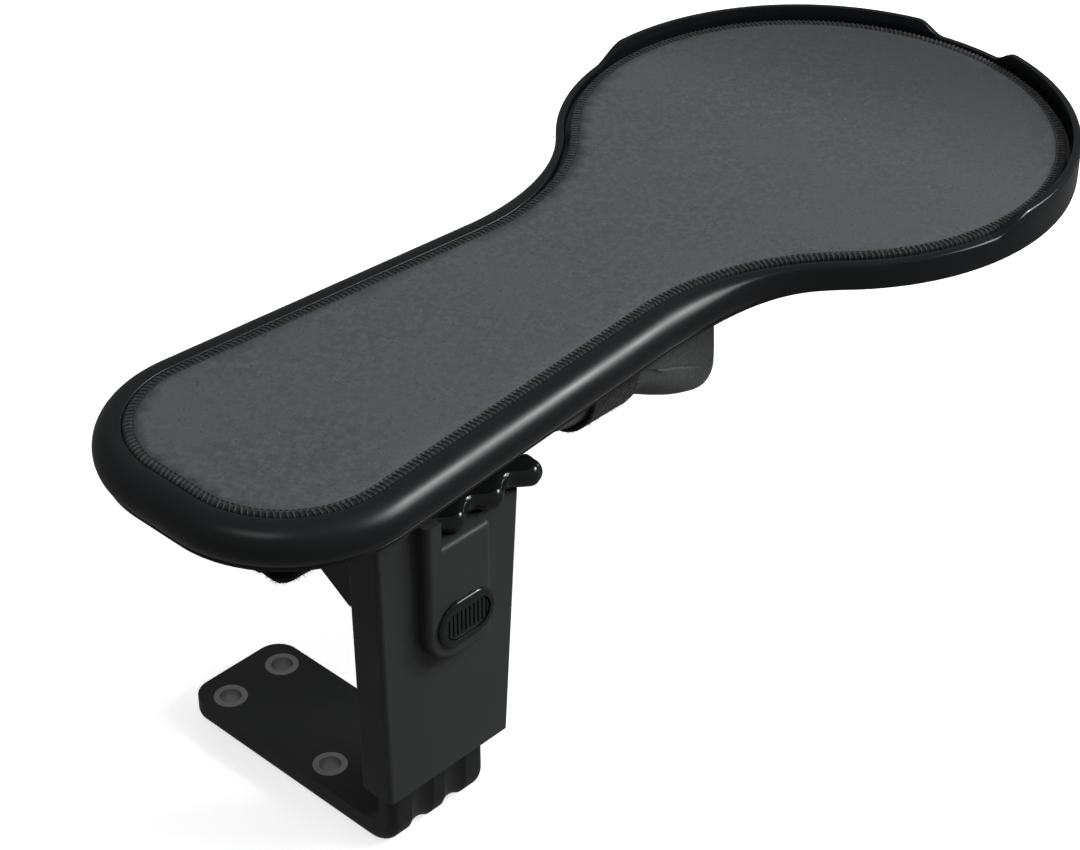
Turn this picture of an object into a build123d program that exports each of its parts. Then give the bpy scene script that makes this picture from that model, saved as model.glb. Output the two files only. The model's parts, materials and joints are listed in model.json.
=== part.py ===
"""Chair armrest with a strap-on mouse tray, in millimetres.

Frame: +X forward along the arm towards the round end of the tray, +Y inboard
towards the seat, +Z up. The origin is the centre of the four seat bolts, on the
top face of the foot, which lies against the underside of the seat.
"""

from build123d import *
import os
from math import atan2, cos, degrees, radians, sin, sqrt

os.makedirs("parts", exist_ok=True)

# Tray and mat: a disc joined to a tapering arm
MAT_TOP = 180.0  # height of the mat's face
ARM_Y = -40.0  # centre line of the arm and of the armrest
DISC_X = 263.0  # centre of the disc
FIELD_R = 100.0  # disc of the mat, inside its stitched edge
FIELD_HALF = 28.75  # distance of the arm's edge line from the disc's centre
TAPER = 4.4  # degrees between each edge line and the centre line
FIELD_LENGTH = 345.3  # disc's centre to the arm's end
NECK_R = 109.0
END_R = 40.3
MAT_EDGE = 3.1  # width of the stitched edge
MAT_THICK = 3.1
CLOTH_THICK = 1.0
RIM_ARM = 14.4  # rim beyond the field, along the arm
RIM_DISC = 9.0  # and round the disc
RIM_HEIGHT = 17.0
RIM_ROLL = 8.4
RECESS_ARM = 3.45  # recess for the mat, beyond the field, along the arm
RECESS_DISC = 5.4  # and round the disc
HOLLOW = 5.4  # inside of the rim below the floor
DISC_RISE = 5.0  # how far the disc's bottom lies above the arm's
DISC_SOFT = 1.2  # rounding of the disc's rim
NECK_FROM = -112.0  # where the rim begins to change, from the disc's centre
NECK_TO = -62.0  # and where it has changed
FLOOR = 2.9
RIB_THICK = 2.4
RIB_DEEP = 3.8
RIB_APART = 60.0  # between the two ribs along the arm
HUB_R = 62.0  # ring rib under the disc
FENCE_TOP = 5.7
FENCE_THICK = 3.0
FENCE_FROM = 8.5
FENCE_TO = 100.0
FENCE_RAMP = 35.0

# Straps
STRAP_THICK = 2.0
STRAP_WIDTH = 26.0
STRAP_HALF = 44.5  # outside of the strap, each side of the centre line
STRAP_CORNER = 23.0  # outside of its bend under the cushion's edge
FRONT_STRAP_X = 92.0
REAR_STRAP_X = -53.0
FRONT_STRAP_LOW = 131.5
REAR_STRAP_LOW = 140.5
SLOT_DEEP = 16.0
BRIDGE_HALF = 18.0  # thickened floor at each strap, along the arm
BRIDGE_DEEP = 2.4

# Cushion
CUSHION_HALF = 42.0
CUSHION_TOP = 170.0
CUSHION_BOTTOM = 147.0
CUSHION_REAR = -88.0
CUSHION_FRONT = 178.0
NOSE_LOW = 114.0
NOTCH_X = (-35.0, 76.0)  # the raised stretch of its underside, over the head
CUSHION_SOFT = 6.0  # rounding of its edges
BASE_THICK = 4.0
FOAM_PAD = 4.0  # between the cushion and the tray

# Sleeve and the column that it slides on
SLEEVE_OUT = -84.0
SLEEVE_IN = -67.5
SLEEVE_TOP = 134.0
SLEEVE_BOTTOM = 23.0
SLEEVE_WALL = 2.2
EAR_TOP = 146.0  # raised corner of the sleeve and its boss, beside the paddle
EAR_IN = -71.0
EAR_LEFT = -33.2
COLUMN_HALF = 25.0
COLUMN_OUT = -78.0
COLUMN_THICK = 8.0
COLUMN_TOP = 126.0
COLUMN_SOFT = 4.0
HEEL_R = 14.0
FLUTES = (-9.0, 8.5)  # across the column
FLUTE_R = 11.0
FLUTE_DEEP = 1.7
FLUTE_TOP = 40.0
FOOT_THICK = 10.0
FOOT_END = 44.0
TRAVEL = 60.0
NOTCH_PITCH = 10.0
CHANNEL_X = (-10.0, 16.0)  # channel down the column, which holds the rack
CHANNEL_FLOOR = -74.0
RACK_THICK = 2.2
RACK_MIDDLE = 4.0
RACK_SCREWS = (49.5, 121.5)
STOP_X = -17.0
STOP_Z = 48.0
BOLT_X = 28.0
BOLT_Y = 60.0
BOLT_HOLE_R = 4.5
BUSH_R = 7.0

# Height latch inside the sleeve, and its button in a boss on the sleeve
BOSS_OUT = -90.0
BOSS_LEFT = -14.0
BOSS_RIGHT = 18.5
BOSS_BOTTOM = 81.0
BUTTON_X = 4.2
BUTTON_Z = 97.5
BEZEL_SIZE = (28.4, 20.4)
BUTTON_SIZE = (22.0, 13.0)
BUTTON_RIBS = 9
BUTTON_FACE = -91.2
BUTTON_DEPTH = 3.2
STEM_R = 2.5
LATCH_X = (-3.0, 11.0)
LATCH_THICK = 1.6
LATCH_PIN_R = 1.0
LATCH_PIN_Y = -79.9
LATCH_PIN_Z = 72.0
LATCH_EARS = (-7.5, 15.5)  # where the two ears that hold the pin begin
TOOTH_Z = 56.0

# Head, release paddle and slide
HEAD_X = (-30.0, 36.0)
HEAD_TOP = 142.7
HEAD_IN = -8.0
PADDLE_X = (-6.0, 49.0)
LEVER_X = (-3.0, 32.0)
PADDLE_PIN_Y = -60.0
PADDLE_PIN_Z = 137.0
LOBE_PITCH = 19.5
LOBE_FIRST = 4.5
LOBE_DEEP = 2.6
PADDLE_EDGE = -86.6  # middle of its wavy edge
PADDLE_REAR = -79.0
PADDLE_HIGH = 9.0
PADDLE_SOFT = 2.4  # rounding of its outer edges
SLIDE_THICK = 4.0
GUIDE_X = (-14.0, 26.0)
SLIDE_BACK = 25.0  # travel of the pad from rest, backwards

GAP = 0.3  # clearance between parts that move past each other

ON_TRAY = Location((DISC_X, ARM_Y, MAT_TOP))


def box(x, y, z):
    """A box from its limits along each axis."""
    return Pos((x[0] + x[1]) / 2, (y[0] + y[1]) / 2, (z[0] + z[1]) / 2) * Box(
        x[1] - x[0], y[1] - y[0], z[1] - z[0]
    )


def along_x(radius, x, y, z):
    """A cylinder along X from its radius, its limits in X, and its axis."""
    return Pos((x[0] + x[1]) / 2, y, z) * Rot(0, 90, 0) * Cylinder(radius, x[1] - x[0])


def along_y(radius, x, y, z):
    """A cylinder along Y from its radius, its limits in Y, and its axis."""
    return Pos(x, (y[0] + y[1]) / 2, z) * Rot(90, 0, 0) * Cylinder(radius, y[1] - y[0])


def pillar(radius, x, y, z):
    """A cylinder along Z from its radius, its limits in Z, and its axis."""
    return Pos(x, y, (z[0] + z[1]) / 2) * Cylinder(radius, z[1] - z[0])


def side_profile(points, y, roundings=0.0):
    """A prism across Y from a closed outline in X and Z."""
    face = make_face(Plane.XZ * Polyline(*points, close=True))
    if roundings:
        face = fillet(face.vertices(), roundings)
    return Pos(0, y[1], 0) * extrude(face, y[1] - y[0], dir=(0, -1, 0))


def cross_profile(face, x):
    """A prism along X from a face drawn in Plane.YZ."""
    return Pos(x[0], 0, 0) * extrude(face, x[1] - x[0], dir=(1, 0, 0))


def save(node, shape):
    """Write one sub-part, under its node's name."""
    shape.label = node
    export_step(shape, f"parts/{node}.step")


# Plan of the tray


def polar(centre, radius, angle):
    return (
        centre[0] + radius * cos(radians(angle)),
        centre[1] + radius * sin(radians(angle)),
    )


def arc(centre, radius, start, end):
    """An arc about a centre, from one angle to another in degrees."""
    return ThreePointArc(*[polar(centre, radius, a) for a in (start, (start + end) / 2, end)])


def tray_plan(arm_grow, disc_grow):
    """The plan of the mat's field, grown outwards along the arm and round the disc."""
    disc_r = FIELD_R + disc_grow
    half = FIELD_HALF + arm_grow
    neck_r = NECK_R - (arm_grow + disc_grow) / 2
    end_r = END_R + arm_grow
    side = 90 - TAPER
    back = sqrt((disc_r + neck_r) ** 2 - (half + neck_r) ** 2)
    neck = polar(polar((0, 0), half + neck_r, side), back, 180 - TAPER)
    neck_angle = degrees(atan2(neck[1], neck[0]))
    end_x = END_R - FIELD_LENGTH
    end_y = (FIELD_HALF - END_R - end_x * cos(radians(side))) / sin(radians(side))
    end = (end_x, end_y)
    neck_arc = arc(neck, neck_r, neck_angle + 180, side + 180)
    end_arc = arc(end, end_r, side, 180)
    edges = [
        arc((0, 0), disc_r, 0, neck_angle),
        neck_arc,
        Line(neck_arc @ 1, end_arc @ 0),
        end_arc,
    ]
    tip = end_arc @ 1
    half_plan = Curve() + edges
    return make_face(half_plan + mirror(half_plan, Plane.XZ) + Line(tip, (tip.X, -tip.Y)))


def tray_slab(arm_grow, disc_grow, low, high):
    """The tray's plan made solid between two heights measured from the mat's face."""
    return Pos(0, 0, low) * extrude(tray_plan(arm_grow, disc_grow), high - low)


def fence(start, end):
    """A raised stretch of the disc's rim with a ramp at each end."""
    outer = FIELD_R + RIM_DISC
    inner = outer - FENCE_THICK
    foot = RIM_HEIGHT / 2
    plan = Curve() + [
        arc((0, 0), outer, start, end),
        Line(polar((0, 0), outer, end), polar((0, 0), inner, end)),
        arc((0, 0), inner, end, start),
        Line(polar((0, 0), inner, start), polar((0, 0), outer, start)),
    ]
    wall = Pos(0, 0, -foot) * extrude(make_face(plan), FENCE_TOP + foot)
    for angle, tilt in ((start, FENCE_RAMP), (end, -FENCE_RAMP)):
        above = Box(4 * FENCE_THICK, 40, 20, align=(Align.CENTER, Align.CENTER, Align.MIN))
        place = Rot(0, 0, angle) * Pos((inner + outer) / 2, 0, 0)
        wall -= place * Rot(tilt, 0, 0) * above
    return wall


def strap_slots():
    """Where the straps cross the tray: their middles, from the disc's centre."""
    return [x - DISC_X for x in (REAR_STRAP_X, FRONT_STRAP_X)]


def make_rim():
    """The tray's outside: a rolled rim along the arm, and a shallower wall round the disc."""
    body = tray_slab(RIM_ARM, RIM_DISC, -RIM_HEIGHT, 0)
    body = fillet(body.faces().filter_by(Axis.Z).edges(), RIM_ROLL)
    across = (-130, 130)
    beyond = FIELD_R + 3 * RIM_DISC
    low = DISC_RISE - RIM_HEIGHT
    cut = [(NECK_FROM, -RIM_HEIGHT - 0.1), (beyond, 2 * low), (beyond, low), (NECK_TO, low)]
    body -= side_profile(cut, across)
    ring = Pos(0, 0, low / 2) * Cylinder(FIELD_R + RIM_DISC, -low)
    return body + fillet(ring.edges().filter_by(GeomType.CIRCLE), DISC_SOFT)


def tray_ribs(under):
    """Ribs below the floor: two along the arm, a ring and seven spokes under the disc."""
    half = RIB_THICK / 2
    deep = (under - RIB_DEEP, under)
    along = (END_R - FIELD_LENGTH + 5, 60)
    ribs = [box(along, (s * RIB_APART / 2 - half, s * RIB_APART / 2 + half), deep) for s in (-1, 1)]
    ring = Cylinder(HUB_R + half, RIB_DEEP) - Cylinder(HUB_R - half, RIB_DEEP)
    ribs.append(Pos(0, 0, under - RIB_DEEP / 2) * ring)
    for turn in range(-120, 121, 40):
        ribs.append(Rot(0, 0, turn) * box((HUB_R, FIELD_R + HOLLOW), (-half, half), deep))
    return ribs


def make_tray():
    """The moulded tray: rim, floor, two fences, strap slots and stiffening ribs."""
    body = make_rim()
    body += fence(FENCE_FROM, FENCE_TO) + mirror(fence(FENCE_FROM, FENCE_TO), Plane.XZ)
    body -= tray_slab(RECESS_ARM, RECESS_DISC, -MAT_THICK, 20)
    under = -MAT_THICK - FLOOR
    body -= tray_slab(HOLLOW, HOLLOW, -2 * RIM_HEIGHT, under)
    for rib in tray_ribs(under):
        body += rib & tray_slab(HOLLOW + 1, HOLLOW + 1, -RIM_HEIGHT, under)
    # Thickened bridges with a channel and two slots for each strap
    half = STRAP_WIDTH / 2 + 0.8
    bridge = STRAP_HALF + 2.5
    for x in strap_slots():
        body += box((x - BRIDGE_HALF, x + BRIDGE_HALF), (-bridge, bridge), (under - BRIDGE_DEEP, under))
        channel = -MAT_THICK - STRAP_THICK - GAP
        body -= box((x - half, x + half), (-STRAP_HALF, STRAP_HALF), (channel, 0))
        for s in (-1, 1):
            slot = sorted((s * (STRAP_HALF - STRAP_THICK - GAP), s * (STRAP_HALF + GAP)))
            body -= box((x - half, x + half), slot, (-SLOT_DEEP, 0))
    return body


def make_mat():
    """The mouse mat: a rubber base, its cloth face, and the stitched edge round both."""
    base = tray_slab(-0.05, -0.05, -MAT_THICK, -CLOTH_THICK)
    cloth = tray_slab(-0.05, -0.05, -CLOTH_THICK, 0)
    edge = tray_slab(MAT_EDGE, MAT_EDGE, -MAT_THICK, 0.2) - tray_slab(0, 0, -5, 5)
    return base, cloth, edge


def rounded_loop(half, low, high, top_r, bottom_r):
    """A rounded rectangle in Plane.YZ about the arm's centre line."""
    near, far = ARM_Y - half, ARM_Y + half
    outline = Polyline((near, low), (far, low), (far, high), (near, high), close=True)
    face = make_face(Plane.YZ * outline)
    face = fillet(face.vertices().sort_by(Axis.Z)[:2], bottom_r)
    return fillet([v for v in face.vertices() if abs(v.Z - high) < 1e-6], top_r)


def make_strap(centre, low):
    """A hook-and-loop band through the tray's slots and round the cushion."""
    top = MAT_TOP - MAT_THICK - GAP / 2
    thick = STRAP_THICK
    outer = rounded_loop(STRAP_HALF, low, top, 2.6, STRAP_CORNER)
    inner = rounded_loop(STRAP_HALF - thick, low + thick, top - thick, 0.6, STRAP_CORNER - thick)
    half = STRAP_WIDTH / 2
    return cross_profile(outer - inner, (centre - half, centre + half))


def make_strap_tab(centre, low):
    """The strap's free end, pressed on under its own loop."""
    half = STRAP_WIDTH / 2 - 0.5
    tab = box((centre - half, centre + half), (ARM_Y - 18, ARM_Y + 20), (low - STRAP_THICK, low))
    return fillet(tab.edges().filter_by(Axis.Z).group_by(Axis.Y)[-1], 6)


# Cushion, slide and head


def make_cushion():
    """The soft pad: rounded stretches of four depths, cut to the plan and to the drooping ends."""
    nose = FRONT_STRAP_X + STRAP_WIDTH / 2 + 2
    rear_hold = REAR_STRAP_LOW + STRAP_THICK
    front_hold = FRONT_STRAP_LOW + STRAP_THICK
    bend = STRAP_CORNER - STRAP_THICK
    stretches = [
        (CUSHION_REAR, NOTCH_X[0], rear_hold, bend),
        (NOTCH_X[0], NOTCH_X[1], CUSHION_BOTTOM, CUSHION_SOFT),
        (NOTCH_X[1], nose, front_hold, bend),
        (nose, CUSHION_FRONT, NOSE_LOW, CUSHION_SOFT),
    ]
    pad = Part()
    for start, end, low, soft in stretches:
        section = rounded_loop(CUSHION_HALF, low, CUSHION_TOP, CUSHION_SOFT, soft)
        pad += cross_profile(section, (start, end))
    length = CUSHION_FRONT - CUSHION_REAR
    plan = Pos(CUSHION_REAR + length / 2, ARM_Y) * SlotOverall(length, 2 * CUSHION_HALF)
    outline = [
        (CUSHION_REAR, 158),
        (CUSHION_REAR + 14, 146),
        (CUSHION_REAR + 22, rear_hold - 1),
        (REAR_STRAP_X, front_hold - 1),
        (nose, front_hold - 1),
        (nose + 12, 130.8),
        (nose + 26, 124.0),
        (nose + 43, NOSE_LOW + 1),
        (CUSHION_FRONT - 8, NOSE_LOW),
        (CUSHION_FRONT, 128),
        (CUSHION_FRONT, 157),
        (CUSHION_FRONT - 10, CUSHION_TOP),
        (CUSHION_REAR + 10, CUSHION_TOP),
        (CUSHION_REAR, 165),
    ]
    side = side_profile(outline, (ARM_Y - 60, ARM_Y + 60), 2.5)
    recess = box((-34, 58), (-69, -11), (CUSHION_BOTTOM - 5, CUSHION_BOTTOM + BASE_THICK))
    return (pad & extrude(plan, 200) & side) - recess


def guide_slots(low, high, half_width):
    """The two slots that the pad slides along, between two heights."""
    slots = Part()
    for x in GUIDE_X:
        slots += box((x, x + SLIDE_BACK), (ARM_Y - half_width, ARM_Y + half_width), (low, high))
        slots += pillar(half_width, x, ARM_Y, (low, high))
        slots += pillar(half_width, x + SLIDE_BACK, ARM_Y, (low, high))
    return slots


def make_cushion_base():
    """The moulded plate inside the cushion's foam, with room for the guide screws' heads."""
    plate = box((-33.7, 57.7), (-68.7, -11.3), (CUSHION_BOTTOM, CUSHION_BOTTOM + BASE_THICK))
    plate -= guide_slots(140, 160, 7.4)
    for x, y in plate_screw_places():
        plate -= pillar(1.5, x, y, (CUSHION_BOTTOM - 1, CUSHION_BOTTOM + 3))
    return plate


def plate_screw_places():
    """Where four screws join the slide plate to the cushion's base."""
    return [(x, y) for x in (-26, 48) for y in (ARM_Y - 21, ARM_Y + 21)]


def make_slide_plate():
    """The plate under the cushion that slides over the head on two long slots."""
    low = CUSHION_BOTTOM - SLIDE_THICK
    plate = box((-34, 56), (-70, -10), (low, CUSHION_BOTTOM))
    plate = fillet(plate.edges().filter_by(Axis.Z), 5)
    plate -= guide_slots(low - 1, CUSHION_BOTTOM + 1, 3.6)
    for x, y in plate_screw_places():
        plate -= pillar(1.8, x, y, (low - 1, CUSHION_BOTTOM + 1))
        plate -= Pos(x, y, low + 0.9) * Cone(3.4, 1.6, 1.8)
    return plate


def make_plate_screws():
    """Countersunk screws from the slide plate up into the cushion's base."""
    low = CUSHION_BOTTOM - SLIDE_THICK
    screws = []
    for x, y in plate_screw_places():
        head = Pos(x, y, low + 1.1) * Cone(3.0, 1.5, 1.6)
        socket = Pos(x, y, low + 0.6) * Cylinder(0.9, 1.2)
        screws.append(head + pillar(1.5, x, y, (low + 1.5, CUSHION_BOTTOM + 3)) - socket)
    return Compound(children=screws)


def head_screw_places():
    """Where four screws join the head's flange to the sleeve's back."""
    return [(x, z) for x in (-20.0, 26.0) for z in (114.0, 125.0)]


def make_head():
    """The bracket on the sleeve's back that carries the pad and the release paddle."""
    low = SLEEVE_TOP
    flange = (SLEEVE_IN, SLEEVE_IN + 3)
    bracket = box(HEAD_X, (-66, HEAD_IN), (HEAD_TOP - 3, HEAD_TOP))
    bracket += box(HEAD_X, (flange[0], HEAD_IN), (low - 3, low))
    bracket += box(HEAD_X, flange, (108, low))
    bracket += box(HEAD_X, (HEAD_IN - 3, HEAD_IN), (low, HEAD_TOP))
    for x in (HEAD_X[0], HEAD_X[1] - 3):
        bracket += box((x, x + 3), (-66, HEAD_IN), (low, HEAD_TOP))
        gusset = [(flange[1], 108), (flange[1], low - 3), (HEAD_IN - 20, low - 3)]
        bracket += cross_profile(make_face(Plane.YZ * Polyline(*gusset, close=True)), (x, x + 3))
    for x in GUIDE_X:
        bracket += pillar(6, x, ARM_Y, (low, HEAD_TOP - 3))
        bracket -= pillar(3, x, ARM_Y, (low, HEAD_TOP + 1))
    # The paddle's pin, the windows that its inner end moves in, and the flange's screws
    bracket -= along_x(1.5, (HEAD_X[0] - 1, HEAD_X[1] + 1), PADDLE_PIN_Y, PADDLE_PIN_Z)
    bracket -= box((-4, 16), (-56, -45), (low - 4, HEAD_TOP + 1))
    for x, z in head_screw_places():
        bracket -= along_y(1.8, x, (flange[0] - 1, flange[1] + 1), z)
    return bracket


def make_head_screws():
    """Four screws through the head's flange into the sleeve's back wall."""
    face = SLEEVE_IN + 3
    screws = []
    for x, z in head_screw_places():
        head = along_y(3.2, x, (face, face + 2), z)
        head = fillet(head.edges().sort_by(Axis.Y)[-1], 0.8)
        cross = box((x - 1.8, x + 1.8), (face + 1, face + 3), (z - 0.4, z + 0.4))
        cross += box((x - 0.4, x + 0.4), (face + 1, face + 3), (z - 1.8, z + 1.8))
        screws.append(head - cross + along_y(1.75, x, (SLEEVE_IN - SLEEVE_WALL, face), z))
    return Compound(children=screws)


def make_guide_screws():
    """Shoulder screws that hold the slide plate down and let it slide."""
    screws = []
    for x in GUIDE_X:
        head_low = CUSHION_BOTTOM + GAP
        shank = pillar(3, x, ARM_Y, (SLEEVE_TOP + 1, head_low))
        head = pillar(6.4, x, ARM_Y, (head_low, head_low + 2.4))
        hexagon = extrude(Pos(x, ARM_Y, head_low + 1.2) * RegularPolygon(2, 6), 2)
        screws.append(shank + head - hexagon)
    return Compound(children=screws)


def paddle_edge(x):
    """The paddle's outer edge: three lobes with two finger valleys between them."""
    turn = 360 * (x - LOBE_FIRST) / LOBE_PITCH
    return PADDLE_EDGE - LOBE_DEEP * cos(radians(turn))


def make_paddle():
    """The release paddle: a wavy finger bar on a flat lever that turns on the head's pin."""
    steps = 24
    first, last = PADDLE_X[0] + 3, PADDLE_X[1] - 3
    places = [first + (last - first) * i / steps for i in range(steps + 1)]
    edge = Spline(*[(x, paddle_edge(x)) for x in places])
    rear = PADDLE_REAR
    ends = [
        ThreePointArc(edge @ 1, (PADDLE_X[1], (edge @ 1).Y + 3.5), (last, rear)),
        Line((last, rear), (first, rear)),
        ThreePointArc((first, rear), (PADDLE_X[0], (edge @ 0).Y + 3.5), edge @ 0),
    ]
    bar = Pos(0, 0, SLEEVE_TOP + 0.6) * extrude(make_face(Curve() + [edge] + ends), PADDLE_HIGH)
    rims = [e for face in bar.faces().filter_by(Axis.Z) for e in face.edges()]
    bar = fillet([e for e in rims if e.center().Y < rear - 0.5], PADDLE_SOFT)
    low = SLEEVE_TOP + 1.4
    lever = box(LEVER_X, (rear - 1, PADDLE_PIN_Y - 2), (low, low + 3))
    lever += box((-2, 14), (PADDLE_PIN_Y - 2.5, -47.5), (low - 0.2, low + 2.8))
    for x in ((LEVER_X[0], LEVER_X[0] + 10), (LEVER_X[1] - 10, LEVER_X[1])):
        lever += along_x(2.6, x, PADDLE_PIN_Y, PADDLE_PIN_Z)
    lever -= along_x(1.56, HEAD_X, PADDLE_PIN_Y, PADDLE_PIN_Z)
    lever -= box((3, 20), (PADDLE_PIN_Y - 3.2, PADDLE_PIN_Y + 3.2), (low - 5, low + 9))
    return bar + lever


def make_brake_shoe():
    """The rubber shoe on the lever's inner end, just under the slide plate."""
    low = 138.2
    shoe = box((-1, 13), (-52.5, -48), (low, CUSHION_BOTTOM - SLIDE_THICK - GAP))
    return fillet(shoe.edges().filter_by(Axis.Z), 1.2)


def torsion_spring(radius, wire, turns, x, y, z):
    """A torsion spring's coil about an axis along X, starting at x."""
    pitch = wire * 2 + 0.2
    path = Helix(pitch, pitch * turns, radius)
    start = path @ 0
    section = Plane(origin=start, z_dir=path % 0) * Circle(wire)
    coil = sweep(section, path=path, is_frenet=True)
    return Pos(x, y, z) * Rot(0, 90, 0) * coil


# Sleeve, latch and button


def sleeve_face(inset=0.0):
    """The sleeve's side view: square at the rear, leaning back along the front."""
    return [
        (-33 + inset, SLEEVE_TOP),
        (-31 + inset, SLEEVE_BOTTOM),
        (32 - inset, SLEEVE_BOTTOM),
        (39 - inset, SLEEVE_TOP),
    ]


def make_sleeve():
    """The shell that slides on the column, open at both ends."""
    body = side_profile(sleeve_face(), (SLEEVE_OUT, SLEEVE_IN))
    middle = (SLEEVE_TOP + SLEEVE_BOTTOM) / 2
    uprights = body.edges().filter_by(lambda e: abs(e.center().Z - middle) < 1)
    body = fillet(uprights, 2.0)
    body -= side_profile(sleeve_face(SLEEVE_WALL), (SLEEVE_OUT + SLEEVE_WALL, SLEEVE_IN - SLEEVE_WALL))
    # A raised corner beside the paddle, open at its back
    ear_x = (EAR_LEFT, PADDLE_X[0] - 1)
    ear = box(ear_x, (SLEEVE_OUT, EAR_IN), (SLEEVE_TOP, EAR_TOP))
    ear = fillet(ear.edges().filter_by(Axis.Z).group_by(Axis.Y)[0].sort_by(Axis.X)[0], 2)
    room = (ear_x[0] + SLEEVE_WALL, ear_x[1] - SLEEVE_WALL)
    body += ear - box(room, (SLEEVE_OUT + SLEEVE_WALL, EAR_IN + 1), (SLEEVE_TOP - 1, EAR_TOP + 1))
    # Ears for the latch's pin, and holes for the button's stem and the screws
    inside = SLEEVE_OUT + SLEEVE_WALL
    for x in LATCH_EARS:
        ear = box((x, x + 3), (inside, COLUMN_OUT - GAP), (LATCH_PIN_Z - 3, LATCH_PIN_Z + 3))
        body += ear - along_x(LATCH_PIN_R, (x - 1, x + 4), LATCH_PIN_Y, LATCH_PIN_Z)
    body -= along_y(STEM_R + GAP, BUTTON_X, (SLEEVE_OUT - 1, inside + 1), BUTTON_Z)
    body -= along_y(1.8, STOP_X, (SLEEVE_IN - 3, SLEEVE_IN + 1), STOP_Z)
    for x, z in head_screw_places():
        body -= along_y(1.8, x, (SLEEVE_IN - 3, SLEEVE_IN + 1), z)
    return body


def make_sleeve_cap():
    """The plug that closes the sleeve's top."""
    depth = (SLEEVE_OUT + SLEEVE_WALL, SLEEVE_IN - SLEEVE_WALL)
    return box((-30.6, 36.3), depth, (SLEEVE_TOP - 3.5, SLEEVE_TOP))


def stadium(width, height, y, depth):
    """A stadium-shaped plug facing outwards, from y and inwards by depth."""
    face = Plane.XZ * Pos(BUTTON_X, BUTTON_Z) * SlotOverall(width, height)
    return Pos(0, y, 0) * extrude(face, depth, dir=(0, 1, 0))


def make_latch_housing():
    """The boss on the sleeve's face that covers the latch and guides the button."""
    beside = PADDLE_X[0] - 1
    outline = [
        (BOSS_LEFT, BOSS_BOTTOM),
        (BOSS_RIGHT, BOSS_BOTTOM),
        (BOSS_RIGHT, SLEEVE_TOP),
        (beside, SLEEVE_TOP),
        (beside, EAR_TOP),
        (BOSS_LEFT, EAR_TOP),
    ]
    face = make_face(Polyline(*outline, close=True))
    face = fillet(face.vertices().group_by(Axis.Y)[0].sort_by(Axis.X)[0], 14)
    face = fillet(face.vertices().group_by(Axis.Y)[0].sort_by(Axis.X)[-1], 6)
    boss = Pos(0, SLEEVE_OUT, 0) * extrude(Plane.XZ * face, SLEEVE_OUT - BOSS_OUT, dir=(0, -1, 0))
    front = boss.faces().sort_by(Axis.Y)[0]
    low = [e for e in front.edges() if e.center().Z < SLEEVE_TOP - 1 and e.center().X < BOSS_RIGHT - 1]
    left = [e for e in front.edges() if e.center().X < BOSS_LEFT + 1]
    boss = fillet(list(set(low + left)), 2.5)
    crown = boss.faces().sort_by(Axis.Y)[0].edges().filter_by(Axis.X)
    boss = fillet([e for e in crown if abs(e.center().Z - SLEEVE_TOP) < 0.1], 2.0)
    boss -= box((-10.5, 16), (BOSS_OUT + 2, SLEEVE_OUT), (BUTTON_Z + 14, 131))
    boss -= stadium(*BEZEL_SIZE, BOSS_OUT - 1, 3)
    return boss - button_well()


def button_well():
    """The opening that the button moves in."""
    width, height = BUTTON_SIZE
    return stadium(width + 0.8, height + 0.8, BOSS_OUT - 3, 11)


def make_bezel():
    """The polished ring round the height button."""
    width, height = BEZEL_SIZE
    ring = stadium(width, height, BOSS_OUT - 1.8, 3.8)
    crest = ring.faces().sort_by(Axis.Y)[0].edges()
    return fillet(crest, 1.3) - button_well()


def make_button():
    """The height button: an oval with upright ribs, and a stem through the sleeve's wall."""
    width, height = BUTTON_SIZE
    button = stadium(width, height, BUTTON_FACE, BUTTON_DEPTH)
    pitch = (width - 3) / BUTTON_RIBS
    grooves = (BUTTON_FACE - 1, BUTTON_FACE + 0.7)
    for i in range(BUTTON_RIBS + 1):
        x = BUTTON_X + (i - BUTTON_RIBS / 2) * pitch
        button -= box((x - 0.45, x + 0.45), grooves, (BUTTON_Z - 5, BUTTON_Z + 5))
    latch_face = LATCH_PIN_Y - 1.5
    stem = (BUTTON_FACE + BUTTON_DEPTH, latch_face - GAP)
    return button + along_y(STEM_R, BUTTON_X, stem, BUTTON_Z)


def make_button_spring():
    """The compression spring round the button's stem."""
    room = SLEEVE_OUT - BUTTON_FACE - BUTTON_DEPTH
    wire = 0.35
    path = Helix((room - 2 * wire) / 3, room - 2 * wire, STEM_R + 1.2)
    section = Plane(origin=path @ 0, z_dir=path % 0) * Circle(wire)
    coil = sweep(section, path=path, is_frenet=True)
    return Pos(BUTTON_X, SLEEVE_OUT - wire, BUTTON_Z) * Rot(90, 0, 0) * coil


def make_latch():
    """The rocking latch: the button pushes its top in, and its tooth leaves the rack."""
    upper = LATCH_PIN_Y - 1.5
    lower = LATCH_PIN_Y
    lever = box(LATCH_X, (upper, upper + LATCH_THICK), (LATCH_PIN_Z, 104))
    lever += box(LATCH_X, (lower, lower + LATCH_THICK), (TOOTH_Z - 1.5, LATCH_PIN_Z))
    lever += along_x(1.7, LATCH_X, LATCH_PIN_Y, LATCH_PIN_Z)
    tip = CHANNEL_FLOOR - RACK_THICK - GAP
    tooth = (LATCH_X[0] + 1, LATCH_X[1] - 1)
    lever += box(tooth, (lower + LATCH_THICK, tip), (TOOTH_Z - 1.5, TOOTH_Z + 1.5))
    return lever - along_x(LATCH_PIN_R + 0.06, (-20, 30), LATCH_PIN_Y, LATCH_PIN_Z)


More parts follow.
